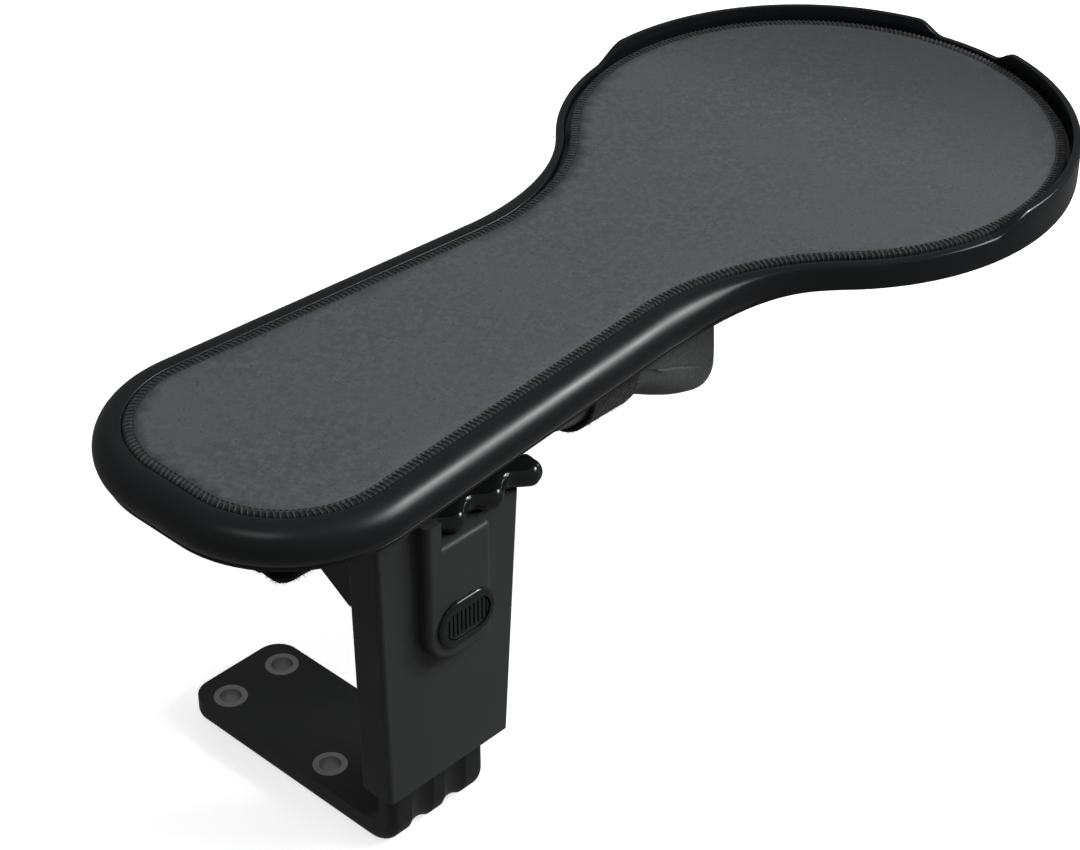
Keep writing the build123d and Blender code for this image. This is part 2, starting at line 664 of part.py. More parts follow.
def make_guide_liners():
    """Four slick pads that hook round the column's edges inside the sleeve."""
    liners = []
    depth = (SLEEVE_OUT + SLEEVE_WALL + 0.05, SLEEVE_IN - SLEEVE_WALL - 0.05)
    edge = COLUMN_HALF + 0.1
    for z, reach_left, reach_right in ((26, 28.6, 29.4), (102, 29.8, 34.4)):
        for side, reach in ((-1, reach_left), (1, reach_right)):
            pad = box(sorted((side * edge, side * reach)), depth, (z, z + 22))
            lip = (depth[0], COLUMN_OUT - 0.1)
            liners.append(pad + box(sorted((side * (edge - 5), side * edge)), lip, (z, z + 22)))
    return Compound(children=liners)


# Column, foot and fasteners


def column_flute(x):
    """The round groove down the column and round its heel, at a place across it."""
    out = FLUTE_R - FLUTE_DEEP
    run = HEEL_R + out
    centre = (COLUMN_OUT + HEEL_R, HEEL_R - FOOT_THICK)
    down = Line((0, centre[0] - run, FLUTE_TOP), (0, centre[0] - run, centre[1]))
    middle = polar(centre, run, 225)
    bend = ThreePointArc(down @ 1, (0, *middle), (0, centre[0], centre[1] - run))
    along = Line(bend @ 1, (0, -40, centre[1] - run))
    path = Curve() + [down, bend, along]
    section = Plane(origin=down @ 0, z_dir=down % 0) * Circle(FLUTE_R)
    return Pos(x, 0, 0) * sweep(section, path=path)


def make_support():
    """The bracket: a fluted column that bends in under the seat to a bolted foot."""
    inner = COLUMN_OUT + COLUMN_THICK
    corners = [
        (COLUMN_OUT, -FOOT_THICK),
        (FOOT_END, -FOOT_THICK),
        (FOOT_END, 0),
        (inner, 0),
        (inner, COLUMN_TOP),
        (COLUMN_OUT, COLUMN_TOP),
    ]
    outline = make_face(Plane.YZ * Polyline(*corners, close=True))
    heel = [v for v in outline.vertices() if v.Y < COLUMN_OUT + 1 and v.Z < 0]
    outline = fillet(heel, HEEL_R)
    crook = [v for v in outline.vertices() if abs(v.Y - inner) < 0.1 and abs(v.Z) < 0.1]
    outline = fillet(crook, 8)
    body = cross_profile(outline, (-COLUMN_HALF, COLUMN_HALF))
    foot_corners = body.edges().filter_by(Axis.Z).filter_by(lambda e: e.center().Y > FOOT_END - 1)
    body = fillet(foot_corners, 10)
    # Soft outer edges, and flutes down the outer face and round its heel
    sides = body.edges().filter_by(lambda e: abs(abs(e.center().X) - COLUMN_HALF) < 0.1)
    outer = sides.filter_by(lambda e: e.center().Y < COLUMN_OUT + 0.1 or on_heel(e.center()))
    body = fillet(outer, COLUMN_SOFT)
    for x in FLUTES:
        body -= column_flute(x)
    # Channel for the rack, slot for the stop screw, and seats for the bolt bushes
    body -= box(CHANNEL_X, (COLUMN_OUT - 1, CHANNEL_FLOOR), (42, COLUMN_TOP + 1))
    stop = (STOP_Z - 2.6, STOP_Z + TRAVEL + 2.6)
    body -= box((STOP_X - 2.6, STOP_X + 2.6), (inner - 4, inner + 1), stop)
    for x, y in bolt_places():
        body -= pillar(BUSH_R, x, y, (-FOOT_THICK - 1, 1))
    for z in RACK_SCREWS:
        body -= along_y(1.5, RACK_MIDDLE, (CHANNEL_FLOOR - 1, CHANNEL_FLOOR + 3), z)
    return body


def on_heel(point):
    """Whether a point lies on the outer bend or under the foot's first stretch."""
    reach = (point.Y - COLUMN_OUT - HEEL_R) ** 2 + (point.Z - HEEL_R + FOOT_THICK) ** 2
    return abs(sqrt(reach) - HEEL_R) < 3


def bolt_places():
    return [(x, y) for x in (-BOLT_X / 2, BOLT_X / 2) for y in (-BOLT_Y / 2, BOLT_Y / 2)]


def make_bolt_bushes():
    """Steel bushes in the foot, one for each seat bolt."""
    tube = Cylinder(BUSH_R, FOOT_THICK) - Cylinder(BOLT_HOLE_R, FOOT_THICK + 1)
    return Compound(children=[Pos(x, y, -FOOT_THICK / 2) * tube for x, y in bolt_places()])


def make_rack():
    """The height rack: a steel strip in the column's channel with a notch for each height."""
    out = CHANNEL_FLOOR - RACK_THICK
    strip = box((RACK_MIDDLE - 9, RACK_MIDDLE + 9), (out, CHANNEL_FLOOR), (44, COLUMN_TOP - 1))
    for i in range(int(TRAVEL / NOTCH_PITCH) + 1):
        z = TOOTH_Z + NOTCH_PITCH * i
        notch = (LATCH_X[0] + 0.4, LATCH_X[1] - 0.4)
        strip -= box(notch, (out - 1, CHANNEL_FLOOR + 0.1), (z - 2.1, z + 2.1))
    for z in RACK_SCREWS:
        strip -= along_y(1.7, RACK_MIDDLE, (out - 1, CHANNEL_FLOOR + 1), z)
        strip -= along_y(2.8, RACK_MIDDLE, (out - 1, out + 1.2), z)
    return strip


def make_rack_screws():
    """The two screws that hold the rack to the column."""
    out = CHANNEL_FLOOR - RACK_THICK
    screws = []
    for z in RACK_SCREWS:
        head = along_y(2.6, RACK_MIDDLE, (out + 0.1, out + 1.2), z)
        screws.append(head + along_y(1.5, RACK_MIDDLE, (out + 1.2, CHANNEL_FLOOR + 3), z))
    return Compound(children=screws)


def make_stop_screw():
    """The screw in the sleeve's back that stops it at the ends of the column's slot."""
    shank = along_y(1.8, STOP_X, (SLEEVE_IN - 5.2, SLEEVE_IN), STOP_Z)
    head = along_y(3.4, STOP_X, (SLEEVE_IN, SLEEVE_IN + 2), STOP_Z)
    return shank + fillet(head.edges().sort_by(Axis.Y)[-1], 0.8)


def make_foam_pads():
    """Two foam pads on the cushion that the tray's floor rests on."""
    high = CUSHION_TOP + FOAM_PAD
    return Compound(children=[box((x, x + 44), (-62, -18), (CUSHION_TOP, high)) for x in (-28, 22)])


if __name__ == "__main__":
    mat_base, mat_cloth, mat_edge = make_mat()

    save("support_bracket", make_support())
    save("bolt_bushes", make_bolt_bushes())
    save("height_rack", make_rack())
    save("rack_screws", make_rack_screws())

    save("sleeve_shell", make_sleeve())
    save("sleeve_cap", make_sleeve_cap())
    save("latch_housing", make_latch_housing())
    save("button_bezel", make_bezel())
    save("guide_liners", make_guide_liners())
    save("stop_screw", make_stop_screw())
    pin_x = (LATCH_EARS[0], LATCH_EARS[1] + 3)
    save("latch_pin", along_x(LATCH_PIN_R, pin_x, LATCH_PIN_Y, LATCH_PIN_Z))
    save("latch_spring", torsion_spring(1.35, 0.25, 4.5, LATCH_X[1] + 0.4, LATCH_PIN_Y, LATCH_PIN_Z))
    save("button_spring", make_button_spring())
    save("head_bracket", make_head())
    save("head_screws", make_head_screws())
    save("paddle_pin", along_x(1.5, HEAD_X, PADDLE_PIN_Y, PADDLE_PIN_Z))
    save("paddle_spring", torsion_spring(2.1, 0.35, 9, 5, PADDLE_PIN_Y, PADDLE_PIN_Z))
    save("guide_screws", make_guide_screws())

    save("height_button", make_button())
    save("height_latch", make_latch())
    save("release_paddle", make_paddle())
    save("brake_shoe", make_brake_shoe())

    save("slide_plate", make_slide_plate())
    save("slide_plate_screws", make_plate_screws())
    save("cushion_base", make_cushion_base())
    save("armrest_cushion", make_cushion())
    save("tray", ON_TRAY * make_tray())
    save("mat_base", ON_TRAY * mat_base)
    save("mat_cloth", ON_TRAY * mat_cloth)
    save("mat_edge_stitching", ON_TRAY * mat_edge)
    for name, place in (
        ("front", (FRONT_STRAP_X, FRONT_STRAP_LOW)),
        ("rear", (REAR_STRAP_X, REAR_STRAP_LOW)),
    ):
        save(f"{name}_strap", make_strap(*place))
        save(f"{name}_strap_tab", make_strap_tab(*place))
    save("foam_pads", make_foam_pads())
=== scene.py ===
"""Looks of the chair armrest with its strap-on mouse tray.

Lengths are in metres and places are in the CAD model's frame, unless a comment says otherwise.
"""

import json
import math
import random

import bpy
import numpy as np
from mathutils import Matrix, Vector
from mathutils.geometry import delaunay_2d_cdt


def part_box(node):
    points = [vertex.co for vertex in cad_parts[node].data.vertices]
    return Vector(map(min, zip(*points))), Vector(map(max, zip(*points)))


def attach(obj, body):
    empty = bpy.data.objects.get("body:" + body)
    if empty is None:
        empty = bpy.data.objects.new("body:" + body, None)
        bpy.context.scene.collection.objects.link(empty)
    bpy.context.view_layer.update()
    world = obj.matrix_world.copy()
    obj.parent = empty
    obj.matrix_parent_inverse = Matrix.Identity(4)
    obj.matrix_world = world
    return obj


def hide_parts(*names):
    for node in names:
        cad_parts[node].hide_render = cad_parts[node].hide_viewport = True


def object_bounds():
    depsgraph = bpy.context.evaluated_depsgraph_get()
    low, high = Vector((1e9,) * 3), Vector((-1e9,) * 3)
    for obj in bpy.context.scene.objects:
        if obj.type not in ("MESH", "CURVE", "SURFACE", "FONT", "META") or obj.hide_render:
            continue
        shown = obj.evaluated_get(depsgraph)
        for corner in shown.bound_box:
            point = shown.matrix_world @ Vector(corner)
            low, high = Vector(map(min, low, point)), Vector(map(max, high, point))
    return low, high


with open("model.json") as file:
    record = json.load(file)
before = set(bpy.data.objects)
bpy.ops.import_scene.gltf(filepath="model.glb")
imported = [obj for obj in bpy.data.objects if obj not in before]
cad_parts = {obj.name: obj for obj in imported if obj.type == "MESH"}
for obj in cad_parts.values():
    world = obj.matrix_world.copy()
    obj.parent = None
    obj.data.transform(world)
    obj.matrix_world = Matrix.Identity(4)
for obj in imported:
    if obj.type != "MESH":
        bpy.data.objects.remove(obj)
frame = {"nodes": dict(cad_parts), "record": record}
CAD_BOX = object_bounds()

MM = 0.001

# The mat's field in plan, about the centre of its disc
CLOTH_LOW, CLOTH_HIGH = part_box("mat_cloth")
FIELD_R = 100 * MM
FIELD_HALF = 28.75 * MM  # from the disc's centre to the line of the arm's side
TAPER = 4.4  # degrees between that line and the arm's centre line
FIELD_LENGTH = CLOTH_HIGH.x - CLOTH_LOW.x - FIELD_R  # from the disc's centre to the arm's end
NECK_R = 109 * MM  # the hollow curve between the disc and the arm
END_R = 40.3 * MM  # the corners at the arm's end
DISC = Vector((CLOTH_HIGH.x - FIELD_R, (CLOTH_LOW.y + CLOTH_HIGH.y) / 2, CLOTH_HIGH.z))
ARM_Y = DISC.y


# ---------------------------------------------------------------- camera

CAMERA_AT = (-0.5383, -0.6474, 0.7189)
CAMERA_AZIMUTH = -46.24
CAMERA_DOWN = 34.59
CAMERA_LENS, CAMERA_SENSOR = 90, 36  # millimetres


def make_camera():
    data = bpy.data.cameras.new("camera")
    data.lens = CAMERA_LENS
    data.sensor_width = CAMERA_SENSOR
    data.clip_start = 0.01
    camera = bpy.data.objects.new("camera", data)
    camera.location = CAMERA_AT
    camera.rotation_euler = (math.radians(90 - CAMERA_DOWN), 0, math.radians(CAMERA_AZIMUTH))
    bpy.context.scene.collection.objects.link(camera)
    bpy.context.scene.camera = camera


make_camera()


# ---------------------------------------------------------------- materials


class Surface:
    """A Principled material built up from procedural layers in the object's own coordinates."""

    def __init__(self, name, color, roughness, **sockets):
        self.material = bpy.data.materials.new(name)
        self.material.use_nodes = True
        self.nodes = self.material.node_tree.nodes
        self.links = self.material.node_tree.links
        self.shader = self.nodes["Principled BSDF"]
        self.shader.inputs["Base Color"].default_value = (*color, 1)
        self.shader.inputs["Roughness"].default_value = roughness
        for socket, value in sockets.items():
            self.shader.inputs[socket.replace("_", " ")].default_value = value
        self.place = self.nodes.new("ShaderNodeTexCoord").outputs["Object"]
        self.normal = None

    def noise(self, scale, detail, stretch=None):
        """A noise field; scale is its features per metre."""
        node = self.nodes.new("ShaderNodeTexNoise")
        node.inputs["Scale"].default_value = scale
        node.inputs["Detail"].default_value = detail
        self.links.new(self.stretched(stretch), node.inputs["Vector"])
        return node.outputs["Fac"]

    def stretched(self, stretch):
        if stretch is None:
            return self.place
        mapping = self.nodes.new("ShaderNodeMapping")
        mapping.inputs["Scale"].default_value = stretch
        self.links.new(self.place, mapping.inputs["Vector"])
        return mapping.outputs["Vector"]

    def along(self, x, y):
        """How far a point lies in a level direction, in metres."""
        node = self.nodes.new("ShaderNodeVectorMath")
        node.operation = "DOT_PRODUCT"
        node.inputs[1].default_value = (x, y, 0)
        self.links.new(self.place, node.inputs[0])
        return node.outputs["Value"]

    def cells(self, scale):
        """Rounded cells, as in moulded leather grain."""
        node = self.nodes.new("ShaderNodeTexVoronoi")
        node.feature = "SMOOTH_F1"
        node.inputs["Scale"].default_value = scale
        self.links.new(self.place, node.inputs["Vector"])
        return node.outputs["Distance"]

    def threads(self, pitch, direction):
        """Parallel, slightly wavy threads a pitch apart."""
        node = self.nodes.new("ShaderNodeTexWave")
        node.wave_type = "BANDS"
        node.bands_direction = direction
        node.inputs["Scale"].default_value = math.pi / (10 * pitch)
        node.inputs["Distortion"].default_value = 0.6
        node.inputs["Detail"].default_value = 1.5
        node.inputs["Detail Scale"].default_value = 2.0
        self.links.new(self.place, node.inputs["Vector"])
        return node.outputs["Fac"]

    def ramp(self, value, low, high, low_value, high_value):
        """The value, mapped and clamped from one range to another."""
        node = self.nodes.new("ShaderNodeMapRange")
        node.inputs["From Min"].default_value = low
        node.inputs["From Max"].default_value = high
        node.inputs["To Min"].default_value = low_value
        node.inputs["To Max"].default_value = high_value
        self.links.new(value, node.inputs["Value"])
        return node.outputs["Result"]

    def product(self, a, b):
        node = self.nodes.new("ShaderNodeMath")
        node.operation = "MULTIPLY"
        self.links.new(a, node.inputs[0])
        self.links.new(b, node.inputs[1])
        return node.outputs[0]

    def tint(self, value, low, high, color):
        """Blends the base colour into another one as the value goes from low to high."""
        node = self.nodes.new("ShaderNodeMix")
        node.data_type = "RGBA"
        self.links.new(self.ramp(value, low, high, 0, 1), node.inputs["Factor"])
        base = self.shader.inputs["Base Color"]
        if base.links:
            self.links.new(base.links[0].from_socket, node.inputs["A"])
        else:
            node.inputs["A"].default_value = base.default_value
        node.inputs["B"].default_value = (*color, 1)
        self.links.new(node.outputs["Result"], base)
        return self

    def rough(self, value, low, high, rough_low, rough_high):
        """Varies the roughness as the value goes from low to high."""
        return self.roughness(self.ramp(value, low, high, rough_low, rough_high))

    def roughness(self, value):
        self.links.new(value, self.shader.inputs["Roughness"])
        return self

    def bump(self, height, depth, strength):
        """Adds relief: depth is its height in metres."""
        node = self.nodes.new("ShaderNodeBump")
        node.inputs["Strength"].default_value = strength
        node.inputs["Distance"].default_value = depth
        self.links.new(height, node.inputs["Height"])
        if self.normal:
            self.links.new(self.normal, node.inputs["Normal"])
        self.normal = node.outputs["Normal"]
        self.links.new(self.normal, self.shader.inputs["Normal"])
        return self


def tray_plastic():
    """Black plastic with a trace of orange peel and handling haze, glossier on the disc."""
    s = Surface("tray_plastic", (0.0075, 0.0085, 0.0095), 0.34, Specular_IOR_Level=0.5)
    s.tint(s.noise(9, 3), 0.45, 0.75, (0.01, 0.011, 0.0125))
    haze = s.ramp(s.noise(38, 4), 0.35, 0.7, 0.9, 1.14)
    polish = s.ramp(s.along(1, 0), DISC.x - 150 * MM, DISC.x - 80 * MM, 0.33, 0.17)
    s.roughness(s.product(haze, polish))
    return s.bump(s.noise(420, 2), 0.00002, 0.5).material


def gloss_trim():
    """Shinier black plastic for the paddle and the button's ring."""
    s = Surface("gloss_trim", (0.01, 0.011, 0.0115), 0.13, Specular_IOR_Level=0.7)
    s.rough(s.noise(90, 3), 0.35, 0.7, 0.11, 0.17)
    return s.bump(s.noise(700, 2), 0.00001, 0.4).material


def mat_cloth():
    """Grey cloth: a close plain weave, soft clouding and scattered pale flecks of lint, with painted
    shade darkening it towards the disc's tip."""
    s = Surface("mat_cloth", (0.075, 0.078, 0.085), 0.9, Sheen_Weight=0.04, Specular_IOR_Level=0.12)
    s.tint(s.noise(420, 4), 0.4, 0.68, (0.099, 0.103, 0.111))
    s.tint(s.noise(24, 3), 0.42, 0.68, (0.088, 0.092, 0.099))
    # painted shade: the cloth darkens towards the disc's far tip, standing in for the fence's shadow
    # there
    s.tint(s.along(1, 0.15), 0.26, 0.385, (0.036, 0.0375, 0.0415))
    s.tint(s.noise(900, 2), 0.36, 0.3, (0.045, 0.046, 0.05))
    s.tint(s.noise(1100, 1), 0.69, 0.76, (0.14, 0.145, 0.152))
    pitch = 0.55 * MM
    weave = s.product(s.threads(pitch, "X"), s.threads(pitch, "Y"))
    s.bump(weave, 0.00009, 0.8)
    return s.bump(s.noise(900, 2), 0.00008, 0.6).material


def edge_cloth():
    """The black base of the mat's overlocked edge."""
    s = Surface("edge_cloth", (0.008, 0.008, 0.009), 0.9, Sheen_Weight=0.1)
    s.tint(s.noise(1200, 2), 0.4, 0.7, (0.014, 0.014, 0.015))
    return s.bump(s.noise(1600, 2), 0.00012, 0.8).material


def thread():
    """Twisted polyester thread."""
    s = Surface("thread", (0.019, 0.0195, 0.021), 0.6, Sheen_Weight=0.12)
    s.tint(s.noise(300, 2), 0.4, 0.65, (0.05, 0.051, 0.055))
    return s.bump(s.threads(0.35 * MM, "DIAGONAL"), 0.00006, 0.8).material


def strap_fuzz():
    """The looped face of hook-and-loop tape."""
    s = Surface("strap_fuzz", (0.0055, 0.0055, 0.006), 0.95, Sheen_Weight=0.1, Sheen_Roughness=0.6)
    s.tint(s.noise(520, 4), 0.5, 0.7, (0.028, 0.028, 0.03))
    s.bump(s.noise(700, 4), 0.0007, 1.0)
    return s.bump(s.noise(260, 3), 0.0005, 0.8).material


def strap_fibre():
    s = Surface("strap_fibre", (0.008, 0.008, 0.009), 0.7, Sheen_Weight=0.1)
    return s.tint(s.noise(700, 1), 0.45, 0.6, (0.03, 0.03, 0.032)).material


def cushion_skin():
    """Soft grey moulded foam skin with a fine pebble grain, a little paler in places."""
    s = Surface("cushion_skin", (0.062, 0.068, 0.066), 0.66, Sheen_Weight=0.15)
    s.tint(s.noise(14, 4), 0.42, 0.7, (0.078, 0.085, 0.081))
    s.tint(s.noise(700, 3), 0.5, 0.7, (0.11, 0.118, 0.113))
    s.rough(s.noise(60, 3), 0.3, 0.7, 0.54, 0.72)
    s.bump(s.cells(1250), 0.00016, 0.7)
    return s.bump(s.noise(2400, 2), 0.00005, 0.5).material


def sleeve_plastic():
    """Dark grey plastic with a fine spark-eroded grain."""
    s = Surface("sleeve_plastic", (0.040, 0.0425, 0.0415), 0.5, Specular_IOR_Level=0.45)
    s.tint(s.noise(11, 4), 0.4, 0.72, (0.049, 0.0522, 0.0505))
    s.rough(s.noise(45, 4), 0.32, 0.7, 0.44, 0.58)
    s.bump(s.noise(2600, 3), 0.00004, 0.6)
    return s.bump(s.noise(1300, 2), 0.00003, 0.4).material


def column_plastic():
    """Black glass-filled nylon, slightly glossier on its rubbed faces."""
    s = Surface("column_plastic", (0.017, 0.018, 0.0185), 0.36, Specular_IOR_Level=0.5)
    s.rough(s.noise(30, 4), 0.35, 0.7, 0.28, 0.46)
    s.tint(s.noise(16, 4), 0.45, 0.75, (0.026, 0.027, 0.028))
    return s.bump(s.noise(1700, 3), 0.00003, 0.5).material


def inner_plastic():
    """Plain moulded plastic of the hidden brackets."""
    s = Surface("inner_plastic", (0.02, 0.021, 0.021), 0.5)
    s.rough(s.noise(50, 3), 0.35, 0.7, 0.42, 0.6)
    return s.bump(s.noise(1500, 3), 0.00004, 0.5).material


def button_plastic():
    s = Surface("button_plastic", (0.017, 0.018, 0.019), 0.3)
    s.rough(s.noise(120, 3), 0.35, 0.7, 0.26, 0.38)
    return s.bump(s.noise(1900, 2), 0.00002, 0.5).material


def liner_plastic():
    s = Surface("liner_plastic", (0.62, 0.6, 0.55), 0.4)
    return s.rough(s.noise(70, 3), 0.3, 0.7, 0.34, 0.5).material


def rubber():
    s = Surface("rubber", (0.014, 0.014, 0.0145), 0.85)
    s.tint(s.noise(400, 3), 0.45, 0.7, (0.021, 0.021, 0.022))
    return s.bump(s.noise(1200, 3), 0.0001, 0.6).material


def foam():
    """Closed-cell foam."""
    s = Surface("foam", (0.018, 0.018, 0.019), 0.95)
    s.tint(s.cells(1800), 0.3, 0.6, (0.035, 0.035, 0.036))
    return s.bump(s.cells(1800), 0.0002, 0.8).material


def steel():
    """Zinc-plated steel with drawn lines and faint spotting."""
    s = Surface("steel", (0.56, 0.56, 0.57), 0.34, Metallic=1.0)
    s.tint(s.noise(60, 4), 0.45, 0.75, (0.42, 0.42, 0.43))
    s.rough(s.noise(240, 3, (1, 1, 0.1)), 0.35, 0.7, 0.28, 0.46)
    return s.bump(s.noise(900, 2, (1, 1, 0.08)), 0.00002, 0.5).material


MATERIALS = {
    "tray_plastic": tray_plastic(),
    "gloss_trim": gloss_trim(),
    "mat_cloth": mat_cloth(),
    "edge_cloth": edge_cloth(),
    "thread": thread(),
    "strap_fuzz": strap_fuzz(),
    "strap_fibre": strap_fibre(),
    "cushion_skin": cushion_skin(),
    "sleeve_plastic": sleeve_plastic(),
    "column_plastic": column_plastic(),
    "inner_plastic": inner_plastic(),
    "button_plastic": button_plastic(),
    "liner_plastic": liner_plastic(),
    "mat_rubber": rubber(),
    "foam": foam(),
    "steel": steel(),
}
SLOT_LOOKS = {"stitching": "thread", "strap": "strap_fuzz"}


def dress_cad_nodes():
    """Gives each CAD node the finish of its slot in the record."""
    slots = {part["node"]: part["material_slot"] for part in frame["record"]["subparts"]}
    for name, node in frame["nodes"].items():
        look = SLOT_LOOKS.get(slots[name], slots[name])
        node.data.materials.clear()
        node.data.materials.append(MATERIALS[look])


dress_cad_nodes()


# ---------------------------------------------------------------- mesh helpers


def make_piece(name, vertices, faces, look, body, replaces=(), sharp=40):
    """A mesh piece that rides on a body and takes one of the finishes above by name."""
    mesh = bpy.data.meshes.new(name)
    mesh.from_pydata([tuple(v) for v in vertices], [], [tuple(f) for f in faces])
    mesh.validate()
    mesh.shade_smooth()
    mesh.set_sharp_from_angle(angle=math.radians(sharp))
    mesh.materials.append(MATERIALS[look])
    piece = bpy.data.objects.new(name, mesh)
    bpy.context.scene.collection.objects.link(piece)
    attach(piece, body)
    if replaces:
        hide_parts(*replaces)
    return piece


def grid_faces(rows, columns, close_rows=False, close_columns=False, start=0):
    """Quads over a grid of points stored row by row."""
    faces = []
    for i in range(rows if close_rows else rows - 1):
        for j in range(columns if close_columns else columns - 1):
            a, b = i * columns + j, i * columns + (j + 1) % columns
            c, d = (i + 1) % rows * columns + (j + 1) % columns, (i + 1) % rows * columns + j
            faces.append((start + a, start + b, start + c, start + d))
    return faces


class Tubes:
    """Many small tubes gathered into one mesh."""

    def __init__(self, sides=6):
        self.vertices, self.faces, self.sides = [], [], sides

    def add(self, points, radii):
        """One tube through the points, closed at both ends."""
        points = np.asarray(points, float)
        start = len(self.vertices)
        ahead = np.gradient(points, axis=0)
        ahead /= np.linalg.norm(ahead, axis=1)[:, None]
        side = np.cross(ahead, np.array((0.31, 0.17, 0.94)))
        side /= np.linalg.norm(side, axis=1)[:, None]
        up = np.cross(side, ahead)
        turn = np.arange(self.sides) * 2 * math.pi / self.sides
        radii = np.broadcast_to(radii, len(points))
        for point, a, b, radius in zip(points, side, up, radii):
            self.vertices.extend(point + radius * (math.cos(t) * a + math.sin(t) * b) for t in turn)
        self.faces += grid_faces(len(points), self.sides, close_columns=True, start=start)
        self.faces.append(tuple(range(start + self.sides - 1, start - 1, -1)))
        last = start + (len(points) - 1) * self.sides
        self.faces.append(tuple(range(last, last + self.sides)))


def smooth(t):
    t = np.clip(t, 0, 1)
    return t * t * (3 - 2 * t)


# ---------------------------------------------------------------- the tray's outline


def polar(centre, radius, angle):
    return np.array(centre) + radius * np.array((math.cos(angle), math.sin(angle)))


def arc(centre, wide, high, degrees):
    """Points at the given angles on an ellipse, from its centre and its two radii."""
    turns = [math.radians(d) for d in degrees]
    return [(centre[0] + wide * math.cos(a), centre[1] + high * math.sin(a)) for a in turns]


def field_path(step):
    """Points round the mat's field from the disc's tip, their outward normals, and how far
    each is towards the disc's own rim: 0 on the arm, 1 on the disc."""
    side = math.radians(90 - TAPER)
    reach = math.sqrt((FIELD_R + NECK_R) ** 2 - (FIELD_HALF + NECK_R) ** 2)
    neck = polar(polar((0, 0), FIELD_HALF + NECK_R, side), reach, math.pi / 2 + side)
    neck_angle = math.atan2(neck[1], neck[0])
    end_x = END_R - FIELD_LENGTH
    end_y = (FIELD_HALF - END_R - end_x * math.cos(side)) / math.sin(side)
    end = np.array((end_x, end_y))

    points, normals, share = [], [], []

    def add_arc(centre, radius, start, stop, outward, shares):
        count = max(2, round(abs(stop - start) * radius / step))
        for i in range(count):
            t = (i + 0.5) / count
            radial = polar((0, 0), 1, start + (stop - start) * t)
            points.append(np.array(centre) + radius * radial)
            normals.append(outward * radial)
            share.append(shares[0] + (shares[1] - shares[0]) * t)

    def add_line(a, b, normal):
        count = max(2, round(np.linalg.norm(b - a) / step))
        for i in range(count):
            t = (i + 0.5) / count
            points.append(a + (b - a) * t)
            normals.append(normal)
            share.append(0)

    add_arc((0, 0), FIELD_R, 0, neck_angle, 1, (1, 1))
    add_arc(neck, NECK_R, neck_angle + math.pi, side + math.pi, -1, (1, 0))
    away = polar((0, 0), 1, side)
    add_line(neck - NECK_R * away, end + END_R * away, away)
    add_arc(end, END_R, side, math.pi, 1, (0, 0))
    tip = end - (END_R, 0)
    add_line(tip, np.array((tip[0], 0)), np.array((-1.0, 0)))
    points, normals, share = (np.array(x) for x in (points, normals, share))
    flip = np.array((1, -1))
    points = np.vstack([points, points[::-1] * flip])
    normals = np.vstack([normals, normals[::-1] * flip])
    return points, normals, np.concatenate([share, share[::-1]])


def around(points, normals, offset, height):
    """The outline in space, moved outwards and to a height measured from the mat's face."""
    plan = points + normals * np.asarray(offset).reshape(-1, 1)
    high = np.broadcast_to(height, len(points))
    return np.column_stack([plan[:, 0] + DISC.x, plan[:, 1] + DISC.y, high + DISC.z])


# ---------------------------------------------------------------- tray

RIM_STEP = 1.6 * MM  # between the rim's sections
FENCE_TOP = 5.7 * MM
FENCE_START, FENCE_RISE = 7.5, 6.5  # degrees from the disc's tip, and over which it rises
FENCE_END, FENCE_FALL = 101.0, 10.0
FENCE_REAR = -60 * MM  # no fence stands behind here
BLEND_FROM, BLEND_OVER = 0.1, 0.75  # shares of the neck over which one rim becomes the other

# The rims' profiles are in millimetres: beyond the field, and above the mat's face
SEAT = 2.9  # where the flat floor ends
FLOOR_TOP, FLOOR_LOW = -3.1, -6.0
CREST = range(5, 15)  # the profile's points that a fence lifts


def fence_height(points):
    """How much of the fence stands at each point: 0 none, 1 all of it."""
    angle = np.degrees(np.abs(np.arctan2(points[:, 1], points[:, 0])))
    rise = smooth((angle - FENCE_START) / FENCE_RISE)
    fall = smooth((FENCE_END - angle) / FENCE_FALL)
    return np.where(points[:, 0] > FENCE_REAR, rise * fall, 0)


def arm_rim():
    """The arm's rim: a rolled bead that is open underneath, with a thin lip along its lower edge."""
    profile = [(SEAT, FLOOR_TOP), (3.2, -3.08), (3.42, -2.85), (3.45, -0.42), (3.5, -0.12), (3.72, 0.06)]
    profile += [(4.5, 0.2)]
    profile += arc((5.9, -8.45), 8.5, 8.75, np.linspace(90, -52, 21))
    profile += [(11.35, -15.6), (11.5, -16.1), (11.3, -16.75), (10.7, -17.0), (9.9, -16.8), (9.5, -16.2)]
    profile += [(9.45, -15.2)]
    profile += arc((5.9, -8.5), 6.1, 6.1, np.linspace(-50, 50, 9))
    profile += [(8.4, -4.9), (7.2, -5.7), (6.0, FLOOR_LOW), (SEAT, FLOOR_LOW)]
    return np.array(profile) * MM


def disc_rim():
    """The disc's rim, point for point with the arm's: a low upright wall with rounded edges."""
    profile = [(SEAT, FLOOR_TOP), (5.1, -3.1), (5.36, -2.85), (5.4, -1.6), (5.4, -0.5), (5.55, -0.1)]
    profile += [(5.9, 0.0), (6.6, 0.0), (7.2, 0.0), (7.65, -0.05), (8.1, -0.2), (8.5, -0.47)]
    profile += [(8.78, -0.83), (8.95, -1.25), (9.0, -1.7)]
    profile += [(9.0, z) for z in np.linspace(-2.3, -9.4, 13)]
    profile += [(8.95, -10.6), (8.8, -11.2), (8.45, -11.7), (7.9, -11.95), (7.2, -12.0), (6.6, -11.85)]
    profile += [(6.35, -11.3)]
    profile += [(6.3, z) for z in np.linspace(-10.4, -7.0, 9)]
    profile += [(6.1, -6.5), (5.6, -6.1), (4.6, FLOOR_LOW), (SEAT, FLOOR_LOW)]
    return np.array(profile) * MM


def middle_x(node):
    """The middle of a CAD node along the arm."""
    low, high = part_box(node)
    return (low.x + high.x) / 2


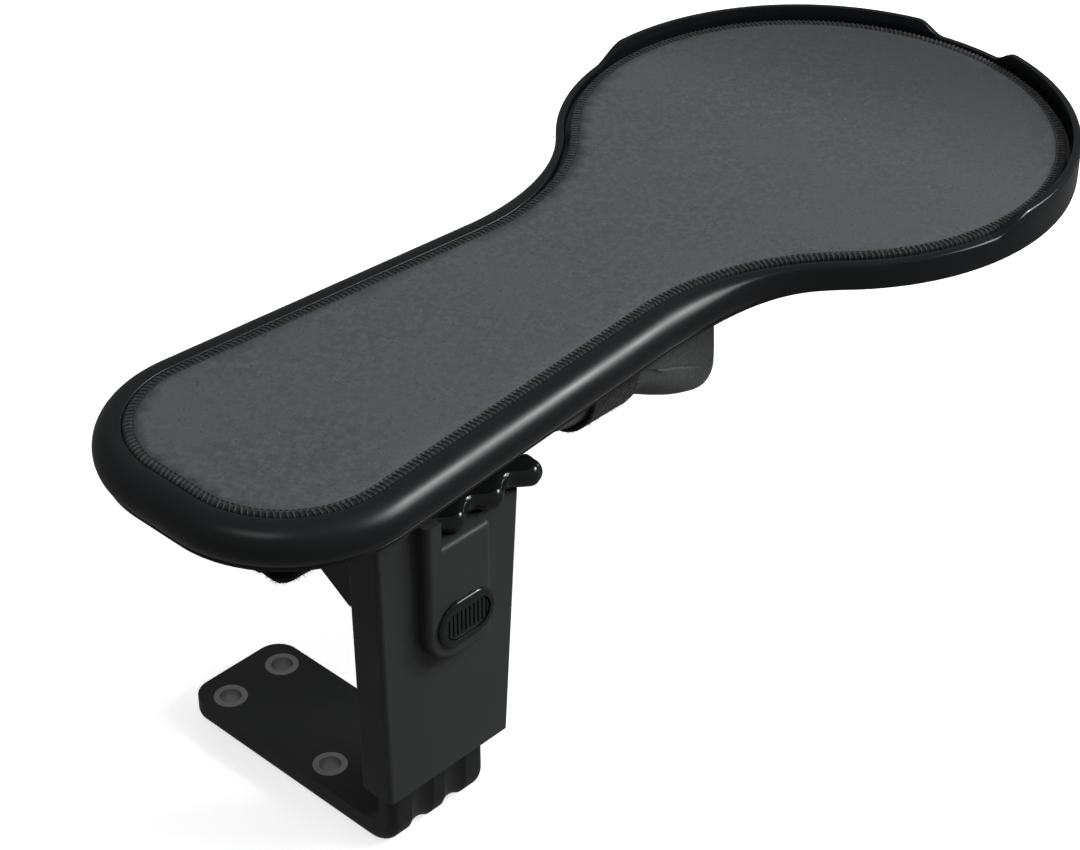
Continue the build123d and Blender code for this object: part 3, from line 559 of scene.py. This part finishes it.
STRAPS = [middle_x("front_strap") - DISC.x, middle_x("rear_strap") - DISC.x]
STRAP_LOW, STRAP_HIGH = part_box("front_strap")
STRAP_WIDE = STRAP_HIGH.x - STRAP_LOW.x
STRAP_HALF = (STRAP_HIGH.y - STRAP_LOW.y) / 2
CHANNEL_HALF = STRAP_WIDE / 2 + 0.8 * MM
CHANNEL_REACH = STRAP_HALF + 0.3 * MM


def rectangle(x, y):
    """Corners of a rectangle from its limits."""
    return [(x[0], y[0]), (x[1], y[0]), (x[1], y[1]), (x[0], y[1])]


def sheet_with_holes(outline, holes):
    """Triangles over an outline, leaving out its rectangular holes. Returns points and faces."""
    points = [Vector(p) for p in outline]
    loops = [list(range(len(points)))]
    for hole in holes:
        loops.append(list(range(len(points), len(points) + 4)))
        points += [Vector(p) for p in hole]
    edges = [(a, b) for loop in loops for a, b in zip(loop, loop[1:] + loop[:1])]
    points, _, faces, *_ = delaunay_2d_cdt(points, edges, [loops[0]], 1, 1e-7)

    def in_hole(face):
        x = sum(points[i].x for i in face) / 3
        y = sum(points[i].y for i in face) / 3
        return any(h[0][0] < x < h[2][0] and h[0][1] < y < h[2][1] for h in holes)

    return points, [f for f in faces if not in_hole(f)]


def plate(outline, holes, low, high):
    """A flat plate with rectangular holes, between two heights from the mat's face."""
    points, caps = sheet_with_holes(outline, holes)
    count = len(points)
    vertices = [(p.x + DISC.x, p.y + DISC.y, z + DISC.z) for z in (low, high) for p in points]
    faces = [tuple(reversed(f)) for f in caps] + [tuple(i + count for i in f) for f in caps]
    start = 0
    for loop in [outline, *holes]:
        ring = range(start, start + len(loop))
        walls = [(a, b, b + count, a + count) for a, b in zip(ring, [*ring[1:], ring[0]])]
        faces += walls if loop is outline else [tuple(reversed(w)) for w in walls]
        start += len(loop)
    return vertices, faces


def make_tray():
    """The moulded tray: its rim runs from the arm's rolled bead into the disc's wall and fences,
    and its floor has a channel for each strap."""
    points, normals, share = field_path(RIM_STEP)
    arm, disc = arm_rim(), disc_rim()
    blend = smooth((share - BLEND_FROM) / BLEND_OVER)
    fence = fence_height(points)
    rings = []
    for k in range(len(arm)):
        offset = arm[k, 0] * (1 - blend) + disc[k, 0] * blend
        height = arm[k, 1] * (1 - blend) + disc[k, 1] * blend
        if k in CREST:
            height = height + fence * FENCE_TOP
        rings.append(around(points, normals, offset, height))
    vertices = np.vstack(rings)
    count = len(points)
    faces = grid_faces(len(rings), count, close_columns=True)
    seat = points + normals * SEAT * MM
    across = (-CHANNEL_REACH, CHANNEL_REACH)
    holes = [rectangle((x - CHANNEL_HALF, x + CHANNEL_HALF), across) for x in STRAPS]
    flat, caps = sheet_with_holes(seat, holes)
    extra = flat[count:]
    tops = [(p.x + DISC.x, p.y + DISC.y, DISC.z + FLOOR_TOP * MM) for p in extra]
    lows = [(p.x + DISC.x, p.y + DISC.y, DISC.z + FLOOR_LOW * MM) for p in extra]
    last = (len(rings) - 1) * count
    start = len(vertices)
    vertices = [*vertices, *tops, *lows]
    faces += [tuple(i if i < count else start + i - count for i in f) for f in caps]
    under = start + len(extra)
    faces += [tuple(last + i if i < count else under + i - count for i in reversed(f)) for f in caps]
    for first in range(0, len(extra), 4):
        ring = range(first, first + 4)
        sides = zip(ring, [*ring[1:], ring[0]])
        faces += [(start + a, start + b, under + b, under + a) for a, b in sides]
    look = "tray_plastic"
    make_piece("tray_moulding", vertices, faces, look, "pad", ["tray"], sharp=50)


def make_bridges():
    """Under each strap's channel, a plate with the two slots that the strap passes through."""
    vertices, faces = [], []
    half, reach = 18 * MM, STRAP_HALF + 2.5 * MM
    low, high = -8.4 * MM, -5.5 * MM
    inner = STRAP_HALF - 2.3 * MM
    for x in STRAPS:
        outline = rectangle((x - half, x + half), (-reach, reach))
        slots = []
        for s in (-1, 1):
            y = sorted((s * inner, s * CHANNEL_REACH))
            slots.append(rectangle((x - CHANNEL_HALF, x + CHANNEL_HALF), y))
        v, f = plate(outline, slots, low, high)
        faces += [tuple(i + len(vertices) for i in face) for face in f]
        vertices += v
    make_piece("tray_strap_bridges", vertices, faces, "tray_plastic", "pad", sharp=30)


# A rib's section: millimetres across it, and above the floor's underside
RIB_PROFILE = [(-1.2, 0.4), (-1.0, -3.4), (-0.7, -3.8), (0.7, -3.8), (1.0, -3.4), (1.2, 0.4)]
RIB_OUT = 30 * MM  # from the centre line to each of the two long ribs
RING_R = 62 * MM


def make_ribs():
    """Ribs under the floor, tapered for the mould: two along the arm, a ring and seven spokes."""
    vertices, faces = [], []

    def add(path, closed=False):
        path = np.array(path)
        ahead = np.roll(path, -1, 0) - np.roll(path, 1, 0) if closed else np.gradient(path, axis=0)
        ahead /= np.linalg.norm(ahead, axis=1)[:, None]
        start = len(vertices)
        for p, t in zip(path, ahead):
            for across, z in RIB_PROFILE:
                q = p + np.array((-t[1], t[0])) * across * MM
                vertices.append((q[0] + DISC.x, q[1] + DISC.y, DISC.z + (FLOOR_LOW + z) * MM))
        n = len(RIB_PROFILE)
        faces.extend(grid_faces(len(path), n, close_rows=closed, close_columns=True, start=start))
        if not closed:
            faces.append(tuple(range(start + n - 1, start - 1, -1)))
            faces.append(tuple(range(start + (len(path) - 1) * n, start + len(path) * n)))

    for s in (-1, 1):
        add([(x * MM, s * RIB_OUT) for x in np.linspace(-300, 60, 40)])
    turns = np.linspace(0, 2 * math.pi, 120, endpoint=False)
    add([polar((0, 0), RING_R, a) for a in turns], closed=True)
    for turn in range(-120, 121, 40):
        add([polar((0, 0), r * MM, math.radians(turn)) for r in np.linspace(62.8, 106.1, 12)])
    make_piece("tray_ribs", vertices, faces, "tray_plastic", "pad", sharp=30)


make_tray()
make_bridges()
make_ribs()


# ---------------------------------------------------------------- mat


CLOTH_STEP = 2.5 * MM  # between the points of its cut edge
CLOTH_BEYOND = 0.2  # millimetres that it is cut beyond the field
CLOTH_THICK = 0.8 * MM
UNEVEN = 0.05 * MM
NET_ROW = 0.866  # rows of the cloth's inner points, as a share of their spacing


def make_cloth():
    """The mat's cloth face, cut to the field and laid flat, with a trace of unevenness."""
    points, normals, _ = field_path(CLOTH_STEP)
    rim = points + normals * CLOTH_BEYOND * MM
    spacing = 5.5 * MM
    inside = []
    rows = int(0.22 / spacing)
    for i in range(-rows, rows):
        for j in range(-90, 40):
            p = np.array(((j + 0.5 * (i % 2)) * spacing, i * spacing * NET_ROW))
            gap = points - p
            near = np.argmin((gap**2).sum(1))
            if (gap[near] * normals[near]).sum() > spacing * 0.6:
                inside.append(p)
    flat = [Vector(p) for p in [*rim, *inside]]
    loop = list(range(len(rim)))
    edges = [(a, (a + 1) % len(rim)) for a in loop]
    flat, _, faces, *_ = delaunay_2d_cdt(flat, edges, [loop], 1, 1e-7)
    rng = np.random.default_rng(11)
    bumps = rng.uniform(-1, 1, (8, 4))

    def lift(x, y):
        wave = sum(b[3] * math.sin(x * 55 * b[0] + y * 60 * b[1] + 6 * b[2]) for b in bumps)
        gap = math.sqrt(((rim - (x, y)) ** 2).sum(1).min())
        return UNEVEN * wave * smooth(gap / (25 * MM))

    face = DISC.z - 0.1 * MM
    vertices = [(v.x + DISC.x, v.y + DISC.y, face + lift(v.x, v.y)) for v in flat]
    look = "mat_cloth"
    piece = make_piece("mat_cloth_sheet", vertices, faces, look, "pad", ["mat_cloth"])
    solid = piece.modifiers.new("thickness", "SOLIDIFY")
    solid.thickness = CLOTH_THICK
    solid.offset = -1
    return piece


def cut_area():
    """The cloth's area as it is cut."""
    points, normals, _ = field_path(CLOTH_STEP)
    x, y = (points + normals * CLOTH_BEYOND * MM).T
    return 0.5 * abs(np.dot(x, np.roll(y, 1)) - np.dot(y, np.roll(x, 1)))


def make_mat_edge():
    """The mat's bound edge: a rounded black band under the overlock stitches."""
    points, normals, _ = field_path(RIM_STEP)
    profile = [(-0.25, -0.5), (0.0, -0.02), (0.4, 0.06), (1.5, 0.1), (2.3, 0.0), (2.75, -0.35)]
    profile += [(2.9, -1.0), (2.9, -2.3), (2.7, -2.8), (2.2, -3.05), (0.1, -3.05), (-0.25, -2.6)]
    rings = [around(points, normals, np.full(len(points), o * MM), z * MM) for o, z in profile]
    faces = grid_faces(len(rings), len(points), close_rows=True, close_columns=True)
    vertices = np.vstack(rings)
    node = "mat_edge_stitching"
    return make_piece("mat_edge_band", vertices, faces, "edge_cloth", "pad", [node])


STITCH_PITCH = 2.15 * MM

# An overlock stitch, in millimetres: beyond the field, above the mat's face, and along the edge
STITCH_PATH = [(-0.7, -0.25, -0.5), (-0.45, 0.08, -0.45), (0.4, 0.26, -0.25), (1.5, 0.3, 0.05)]
STITCH_PATH += [(2.4, 0.16, 0.3), (2.85, -0.3, 0.42), (3.0, -1.0, 0.45), (2.95, -2.0, 0.45)]
STITCH_PATH += [(2.6, -2.8, 0.45)]
STITCH_THICK = (0.12, 0.2, 0.26, 0.28, 0.28, 0.26, 0.24, 0.22, 0.18)
STITCH_SLANT = 1.2

# A needle stitch, in millimetres: along the edge, and above the mat's face
NEEDLE_PATH = [(-0.9, -0.3), (-0.7, -0.02), (0, 0.08), (0.7, -0.02), (0.9, -0.3)]
NEEDLE_THICK = (0.1, 0.18, 0.2, 0.18, 0.1)
NEEDLE_IN = 0.8  # inside the field's edge


def even_path(step):
    """Points at even steps round the field, with normals and the direction of travel."""
    points, normals, _ = field_path(0.5 * MM)
    gaps = np.linalg.norm(np.roll(points, -1, 0) - points, axis=1)
    along = np.concatenate([[0], np.cumsum(gaps)])
    count = round(along[-1] / step)
    wanted = np.arange(count) * along[-1] / count
    ring = np.vstack([points, points[:1]])
    normal_ring = np.vstack([normals, normals[:1]])
    p = np.column_stack([np.interp(wanted, along, ring[:, k]) for k in (0, 1)])
    n = np.column_stack([np.interp(wanted, along, normal_ring[:, k]) for k in (0, 1)])
    n /= np.linalg.norm(n, axis=1)[:, None]
    return p, n, np.column_stack([-n[:, 1], n[:, 0]])


def make_stitches():
    """Overlock stitches: a thread over the edge and a short needle thread for each."""
    rng = random.Random(5)
    over, needle = Tubes(6), Tubes(5)
    thick = np.array(STITCH_THICK) * MM
    for p, n, t in zip(*even_path(STITCH_PITCH)):
        lean = rng.uniform(-0.12, 0.12)
        swell = rng.uniform(0.85, 1.15)
        points = []
        for o, z, shift in STITCH_PATH:
            along = shift * STITCH_SLANT + lean * (o - 1)
            plan = p + n * (o + rng.uniform(-0.04, 0.04)) * MM + t * along * MM
            points.append((plan[0] + DISC.x, plan[1] + DISC.y, DISC.z + z * MM))
        over.add(points, thick * swell)
        stitch = []
        for step, z in NEEDLE_PATH:
            plan = p - n * (NEEDLE_IN + rng.uniform(-0.05, 0.05)) * MM + t * step * MM
            stitch.append((plan[0] + DISC.x, plan[1] + DISC.y, DISC.z + z * MM))
        needle.add(stitch, np.array(NEEDLE_THICK) * MM)
    threads = {"overlock_threads": (over, "thread"), "needle_threads": (needle, "edge_cloth")}
    for name, (tubes, look) in threads.items():
        make_piece(name, tubes.vertices, tubes.faces, look, "pad", sharp=60)


cloth = make_cloth()
band = make_mat_edge()
make_stitches()
cut_area()


# ---------------------------------------------------------------- cushion

CUSHION_LOW, CUSHION_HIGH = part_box("armrest_cushion")
BASE_LOW, BASE_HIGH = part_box("cushion_base")
UNDERSIDE = [  # along the arm, height, and rounding of the lower edge, all in millimetres
    (-88, 160, 8), (-82, 155, 12), (-74, 148, 17), (-66, 142.6, 20), (-40, 142.6, 20), (-35, 147.1, 12),
    (58, 147.1, 12), (66, 137.5, 18), (77, 133.6, 20.8), (107, 133.6, 20.8), (113, 132.2, 20),
    (119, 129.4, 19), (126, 126, 18), (133, 123, 17), (143, 119.5, 16), (152, 116, 15), (160, 114.2, 14),
    (168, 114.8, 12), (174, 118.5, 10), (178, 127, 8),
]
SEAM = [  # along the arm, and height
    (-88, 158), (-80, 151), (-60, 149.5), (110, 149.2), (119, 147.6), (130, 143.7), (149, 135),
    (165, 131), (178, 140),
]
BROW = 9 * MM  # rounding of the upper edge
CROWN_DROP, CROWN_REACH = 9 * MM, 22 * MM  # how far the top falls at the ends, and over what length
FOLD = 0.55 * MM  # depth of the seam's fold
NOSE = 30 * MM  # the stretch at the front whose upper part leans back
NOSE_LEAN, NOSE_FROM = 3.5 * MM, 132 * MM  # by how much, and from what height
SLACK = 0.12 * MM
FOAM_LONG = 44 * MM


def cushion_half(x):
    """Half of the cushion's width at a place along it."""
    half = (CUSHION_HIGH.y - CUSHION_LOW.y) / 2
    rear = np.clip((x - CUSHION_LOW.x) / half, 0, 1)
    front = np.clip((CUSHION_HIGH.x - x) / half, 0, 1)
    return half * math.sqrt(1 - (1 - rear) ** 2) * math.sqrt(1 - (1 - front) ** 2)


def cushion_outline(x):
    """One side of the cushion's section, from the middle of its underside to the middle of its top:
    distances from the centre line, and heights."""
    places, lows, rounds = np.array(UNDERSIDE).T * MM
    low, soft = np.interp(x, places, lows), np.interp(x, places, rounds)
    seam = np.interp(x, *(np.array(SEAM).T * MM))
    half = max(cushion_half(x), 0.4 * MM)
    ends = min(x - CUSHION_LOW.x, CUSHION_HIGH.x - x)
    top = CUSHION_HIGH.z - CROWN_DROP * (1 - smooth(ends / CROWN_REACH))
    soft = min(soft, 0.98 * half, 0.74 * (top - low))
    brow = min(BROW, 0.98 * half, 0.24 * (top - low))
    seam = np.clip(seam, low + soft * 0.8, top - brow)
    points = [((half - soft) * t, low) for t in np.linspace(0, 1, 9)[:-1]]
    points += arc((half - soft, low + soft), soft, soft, np.linspace(-90, -4, 12))
    fold = FOLD * min(1, half / (12 * MM))
    start = points[-1][1]
    for t, inset in ((-1.3, 0), (-0.7, 0.12), (-0.25, 0.7), (0, 1), (0.25, 0.7), (0.7, 0.12), (1.3, 0)):
        z = max(seam + t * MM, start + 0.02 * MM)
        points.append((half - fold * inset, z))
    high = top - brow
    points += [(half, max(high, points[-1][1] + 0.02 * MM))]
    points += arc((half - brow, high), brow, brow, np.linspace(8, 90, 9))
    points += [((half - brow) * t, top) for t in np.linspace(1, 0, 8)[1:]]
    return points


def make_cushion():
    """The armrest's soft pad: crowned, drooping at both ends, pulled in by the straps, with a seam
    folded in round its side."""
    length = CUSHION_HIGH.x - CUSHION_LOW.x
    steps = np.array([place for place, *_ in UNDERSIDE[4:9]]) * MM
    turns = np.linspace(0, math.pi, 150)
    even = CUSHION_LOW.x + length * (0.5 - 0.5 * np.cos(turns))
    xs = np.sort(np.concatenate([even, steps + 0.3 * MM]))
    rng = np.random.default_rng(21)
    waves = rng.uniform(-1, 1, (6, 4))
    vertices = []
    for x in xs:
        side = cushion_outline(x)
        ring = side + [(-y, z) for y, z in side[-2:0:-1]]
        for y, z in ring:
            nose = smooth((x - CUSHION_HIGH.x + NOSE) / NOSE)
            lean = NOSE_LEAN * nose * smooth((z - NOSE_FROM) / NOSE)
            over_base = BASE_LOW.x - MM < x < BASE_HIGH.x + MM and abs(y) < 30 * MM
            if over_base and z < BASE_HIGH.z:
                z = BASE_HIGH.z + 0.2 * MM
            slack = sum(w[3] * math.sin(x * 60 * w[0] + y * 70 * w[1] + z * 80 * w[2]) for w in waves)
            pull = SLACK * slack
            y -= math.copysign(min(abs(pull), abs(y)), y)
            vertices.append((x - lean, ARM_Y + y, z))
    count = len(ring)
    faces = grid_faces(len(xs), count, close_columns=True)
    faces.append(tuple(range(count - 1, -1, -1)))
    last = (len(xs) - 1) * count
    faces.append(tuple(range(last, last + count)))
    look = "cushion_skin"
    node = "armrest_cushion"
    return make_piece("cushion_skin", vertices, faces, look, "pad", [node], sharp=180)


def make_foam_pads():
    """The two foam pads between the cushion and the tray, swollen a little between their edges."""
    low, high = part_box("foam_pads")
    vertices, faces = [], []
    for x in (low.x, high.x - FOAM_LONG):
        start = len(vertices)
        rows = []
        for t in np.linspace(0, 1, 13):
            soft = math.sqrt(max(0.0, 1 - (2 * t - 1) ** 6))
            rows.append((0.3 * MM * (1 - soft), low.z + (high.z - low.z) * t))
        for inset, z in rows:
            sides = (x + inset, x + FOAM_LONG - inset), (low.y + inset, high.y - inset)
            vertices += [(px, py, z) for px, py in rectangle(*sides)]
        faces += grid_faces(len(rows), 4, close_columns=True, start=start)
        faces += [tuple(range(start + 3, start - 1, -1)), tuple(range(len(vertices) - 4, len(vertices)))]
    return make_piece("foam_blocks", vertices, faces, "foam", "pad", ["foam_pads"], sharp=35)


cushion = make_cushion()
make_foam_pads()


# ---------------------------------------------------------------- straps

STRAP_THICK = 1.7 * MM
STRAP_CLEAR = 0.1 * MM  # between a strap's path and its CAD box
STRAP_BEND, STRAP_FOLD = 22 * MM, 1.7 * MM  # its bends round the cushion, and at the tray's slots
STRAP_STEP = 1.4 * MM
SAG_AT, SAG = -29 * MM, 1.1 * MM  # where a strap hangs loose, from the arm's centre line, and how far


def strap_loop(low, high, step):
    """Points down the middle of a strap's thickness, from the far slot over the tray's channel and
    down round the cushion, in Y and Z about the arm's centre line, with outward normals."""
    half = STRAP_HALF - STRAP_THICK / 2 - STRAP_CLEAR
    low, high = low + STRAP_THICK / 2 + STRAP_CLEAR, high - STRAP_THICK / 2 - STRAP_CLEAR
    corners = [(half, high, STRAP_FOLD, 0), (-half, high, STRAP_FOLD, 90)]
    corners += [(-half, low, STRAP_BEND, 180), (half, low, STRAP_BEND, 270)]
    points, normals = [], []
    for y, z, radius, start in corners:
        centre = (y - math.copysign(radius, y), z - math.copysign(radius, z - (low + high) / 2))
        for a in np.linspace(start, start + 90, max(6, int(radius * 1.57 / step))):
            radial = polar((0, 0), 1, math.radians(a))
            points.append(np.array(centre) + radius * radial)
            normals.append(radial)
    points, normals = np.array(points), np.array(normals)
    ring, ring_normals = np.vstack([points, points[:1]]), np.vstack([normals, normals[:1]])
    along = np.concatenate([[0], np.cumsum(np.linalg.norm(np.diff(ring, axis=0), axis=1))])
    wanted = np.linspace(0, along[-1], int(along[-1] / step), endpoint=False)
    p = np.column_stack([np.interp(wanted, along, ring[:, k]) for k in (0, 1)])
    n = np.column_stack([np.interp(wanted, along, ring_normals[:, k]) for k in (0, 1)])
    return p, n / np.linalg.norm(n, axis=1)[:, None]


# A band's section: shares of its half width across it, and of its thickness through it
BAND = [(-1, -0.25), (-1, 0.25), (-0.985, 0.42), (-0.95, 0.5)]
BAND += [(t, 0.5) for t in np.linspace(-0.85, 0.85, 11)]
BAND += [(0.95, 0.5), (0.985, 0.42), (1, 0.25), (1, -0.25), (0.985, -0.42), (0.95, -0.5)]
BAND += [(t, -0.5) for t in np.linspace(0.85, -0.85, 11)] + [(-0.95, -0.5), (-0.985, -0.42)]


def band_mesh(points, normals, middle, half, closed, rng):
    """A woven band along a path in Y and Z, a little uneven in its width and its lie."""
    count = len(points)
    turns = np.arange(count) * 2 * math.pi / count
    phase = rng.uniform(0, 6.28, 8)
    wander = 0.25 * MM * (np.sin(3 * turns + phase[0]) + np.sin(7 * turns + phase[1])) / 2
    vertices = []
    for k, (p, n) in enumerate(zip(points, normals)):
        for across, through in BAND:
            ripple = 0.12 * MM * math.sin(23 * turns[k] + 5 * across + phase[2])
            ripple *= math.sin(2.2 * across + phase[3])
            fray = rng.uniform(-0.15, 0.15) * MM if abs(across) > 0.9 else 0
            y, z = p + n * (through * STRAP_THICK + ripple)
            vertices.append((middle + across * half + wander[k] + fray, ARM_Y + y, z))
    faces = grid_faces(count, len(BAND), close_rows=closed, close_columns=True)
    if not closed:
        faces.append(tuple(range(len(BAND) - 1, -1, -1)))
        faces.append(tuple(range((count - 1) * len(BAND), count * len(BAND))))
    return vertices, faces


def whiskers(points, normals, middle, half, count, rng, longest):
    """Loose fibres standing out of a band's outer face and its edges."""
    tubes = Tubes(3)
    for _ in range(count):
        k = rng.integers(len(points))
        p, n = points[k], normals[k]
        at_edge = rng.random() < 0.4
        across = math.copysign(1, rng.uniform(-1, 1)) if at_edge else rng.uniform(-1, 1)
        root = np.array((middle + across * half, ARM_Y + p[0], p[1]))
        out = np.array((0, n[0], n[1]))
        root += out * (rng.uniform(-0.3, 0.5) if at_edge else 0.5) * STRAP_THICK
        aim = np.array((across * 1.4, 0, 0)) + out * 0.5 if at_edge else out
        aim = aim + rng.normal(0, 0.55, 3)
        aim /= np.linalg.norm(aim)
        curl = rng.normal(0, 0.5, 3)
        size = rng.uniform(0.35, 1) * longest
        line = [root + aim * size * t + curl * size * t * t for t in (0, 0.5, 1)]
        tubes.add(line, np.array((0.05, 0.045, 0.02)) * MM)
    return tubes


def make_strap(name, seed):
    """A hook-and-loop strap through the tray and round the cushion, with its free end pressed on."""
    low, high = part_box(name)
    middle, half = (low.x + high.x) / 2, (high.x - low.x) / 2 - 0.4 * MM
    rng = np.random.default_rng(seed)
    points, normals = strap_loop(low.z, high.z, STRAP_STEP)
    underneath = points[:, 1] < (low.z + high.z) / 2
    points[:, 1] -= SAG * np.exp(-(((points[:, 0] - SAG_AT) / (7 * MM)) ** 2)) * underneath
    vertices, faces = band_mesh(points, normals, middle, half, True, rng)
    make_piece(f"{name}_band", vertices, faces, "strap_fuzz", "pad", [name], sharp=60)
    shown = points[:, 1] < DISC.z - 12 * MM
    fibres = whiskers(points[shown], normals[shown], middle, half, 2600, rng, 1.3 * MM)
    tab_low, tab_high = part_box(f"{name}_tab")
    ys = np.linspace(tab_low.y, tab_high.y, 30) - ARM_Y
    end = smooth((ys - (tab_high.y - ARM_Y) + 6 * MM) / (6 * MM))
    lie = tab_high.z - STRAP_THICK / 2 - 0.15 * MM
    lie = lie - 0.9 * MM * smooth((10 * MM - np.abs(ys - SAG_AT)) / (8 * MM))
    tab = np.column_stack([ys[::-1], (lie - 0.1 * MM * end)[::-1]])
    down = np.tile((0.0, -1.0), (len(tab), 1))
    tab_half = half - 0.6 * MM
    vertices, faces = band_mesh(tab, down, middle, tab_half, False, rng)
    make_piece(f"{name}_end", vertices, faces, "strap_fuzz", "pad", [f"{name}_tab"], sharp=60)
    more = whiskers(tab, down, middle, tab_half, 700, rng, MM)
    start = len(fibres.vertices)
    fibres.vertices += more.vertices
    fibres.faces += [tuple(i + start for i in f) for f in more.faces]
    make_piece(f"{name}_fibres", fibres.vertices, fibres.faces, "strap_fibre", "pad", sharp=60)


make_strap("front_strap", 31)
make_strap("rear_strap", 32)


# ---------------------------------------------------------------- release paddle

PADDLE_LOW, PADDLE_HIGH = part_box("release_paddle")
LOBE_FIRST, LOBE_PITCH, LOBE_DEEP = 4.5 * MM, 19.5 * MM, 2.6 * MM
BAR_REAR = -79 * MM
BAR_TALL = 9 * MM
BAR_END = 3 * MM  # length of the bar's rounded ends
BAR_ROUND = 3.3 * MM  # how far its upper and lower edges turn in
LEVER_LOW, LEVER_HIGH = 0.8 * MM, 3.8 * MM  # above the bar's underside
# A lever's section: shares of its width across it, and of its thickness up it
LEVER = [(-0.5, 0.3), (-0.5, 0.8), (-0.42, 1), (0.42, 1), (0.5, 0.8), (0.5, 0.3), (0.42, 0), (-0.42, 0)]


def bar_outline():
    """Plan of the paddle's finger bar, from its rear right corner along its back to the left end,
    and along its wavy front to the right end."""
    left, right = PADDLE_LOW.x + BAR_END, PADDLE_HIGH.x - BAR_END
    middle = PADDLE_LOW.y + LOBE_DEEP

    def edge(x):
        return middle - LOBE_DEEP * math.cos(2 * math.pi * (x - LOBE_FIRST) / LOBE_PITCH)

    def cap(x, side):
        y = edge(x)
        depth = (BAR_REAR - y) / 2
        return arc((x, y + depth), side * BAR_END, depth, np.linspace(80, -80, 13))

    wave = [(x, edge(x)) for x in np.linspace(left, right, 110)]
    back = [(right, BAR_REAR), (left, BAR_REAR)]
    return np.array([*back, *cap(left, -1), *wave, *cap(right, 1)[::-1]])


def make_paddle():
    """The release paddle: a wavy, fully rounded finger bar on flat levers round the head's pin."""
    outline = bar_outline()
    ahead = np.roll(outline, -1, 0) - np.roll(outline, 1, 0)
    ahead /= np.linalg.norm(ahead, axis=1)[:, None]
    inward = np.column_stack([-ahead[:, 1], ahead[:, 0]])
    top = PADDLE_HIGH.z
    vertices = []
    reach = np.clip((BAR_REAR - outline[:, 1]) / (4 * MM), 0, 1)[:, None]
    turns = np.linspace(-90, 90, 19)
    for t in turns:
        a = math.radians(t)
        ring = outline + inward * (BAR_ROUND * (1 - math.cos(a)) * reach)
        z = top - BAR_TALL / 2 + BAR_TALL / 2 * math.sin(a)
        vertices += [(x, y, z) for x, y in ring]
    rows, count = len(turns), len(outline)
    faces = grid_faces(rows, count, close_columns=True)
    faces += [tuple(range(count - 1, -1, -1)), tuple(range((rows - 1) * count, rows * count))]
    low, high = top - BAR_TALL + LEVER_LOW, top - BAR_TALL + LEVER_HIGH
    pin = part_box("paddle_pin")
    pin_y = (pin[0].y + pin[1].y) / 2
    shoe_low, shoe_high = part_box("brake_shoe")
    out = BAR_REAR - 2 * MM
    levers = [  # its sides, and its outer and inner ends
        (-3 * MM, 7 * MM, out, pin_y + 2 * MM),
        (22 * MM, 32 * MM, out, pin_y + 2 * MM),
        (7 * MM, 22 * MM, out, pin_y - 4 * MM),
        (shoe_low.x + MM, shoe_low.x + 3.6 * MM, pin_y - 4 * MM, shoe_high.y),
    ]
    for left, right, outer, inner in levers:
        start = len(vertices)
        for y in np.linspace(outer, inner, 4):
            for u, v in LEVER:
                vertices.append(((left + right) / 2 + u * (right - left), y, low + v * (high - low)))
        faces += grid_faces(4, len(LEVER), close_columns=True, start=start)
        faces.append(tuple(range(start + 7, start - 1, -1)))
        faces.append(tuple(range(start + 24, start + 32)))
    look = "gloss_trim"
    make_piece("paddle_bar", vertices, faces, look, "paddle", ["release_paddle"], sharp=50)


make_paddle()


# ---------------------------------------------------------------- stage and light


def make_floor():
    """A broad, flat, pale disc under the foot."""
    low = CAD_BOX[0][2]
    segments, radius = 96, 12.0
    turns = [2 * math.pi * i / segments for i in range(segments)]
    vertices = [(0, 0, low)] + [(radius * math.cos(a), radius * math.sin(a), low) for a in turns]
    faces = [(0, 1 + i, 1 + (i + 1) % segments) for i in range(segments)]
    mesh = bpy.data.meshes.new("floor")
    mesh.from_pydata(vertices, [], faces)
    glow = {"Emission_Color": (1, 1, 1, 1), "Emission_Strength": 0.7}
    s = Surface("floor", (0.93, 0.93, 0.93), 0.75, **glow)
    mesh.materials.append(s.tint(s.noise(3, 2), 0.4, 0.7, (0.95, 0.95, 0.95)).material)
    floor = bpy.data.objects.new("floor", mesh)
    floor.visible_diffuse = False
    floor.visible_glossy = False
    bpy.context.scene.collection.objects.link(floor)


LAMPS_AIM = (0.15, -0.04, 0.1)


def add_softbox(name, place, size, power, mirrored=True):
    """A rectangular lamp aimed at the middle of the object. Its power is in watts."""
    data = bpy.data.lights.new(name, "AREA")
    data.shape = "RECTANGLE"
    data.size, data.size_y = size
    data.energy = power
    lamp = bpy.data.objects.new(name, data)
    lamp.location = place
    lamp.visible_glossy = mirrored
    aim = Vector(LAMPS_AIM) - Vector(place)
    lamp.rotation_euler = aim.to_track_quat("-Z", "Y").to_euler()
    bpy.context.scene.collection.objects.link(lamp)


def light_scene():
    """Soft light from above, a softbox to the front right with a small bright lamp before it, and a
    weak softbox at the rear left."""
    bpy.context.scene.view_settings.view_transform = "Standard"
    world = bpy.data.worlds.new("world")
    world.use_nodes = True
    background = world.node_tree.nodes["Background"]
    background.inputs["Color"].default_value = (1, 1, 1, 1)
    background.inputs["Strength"].default_value = 0.13
    bpy.context.scene.world = world
    add_softbox("above", (0.15, -0.5, 1.45), (1.2, 1.2), 11, mirrored=False)
    add_softbox("key", (1.28, -1.12, 1.18), (1.3, 0.9), 21)
    add_softbox("left", (-0.86, -0.22, 1.58), (0.6, 0.4), 1.7)
    add_softbox("spark", (1.35, -1.0, 1.2), (0.2, 0.2), 6.0)


make_floor()
light_scene()
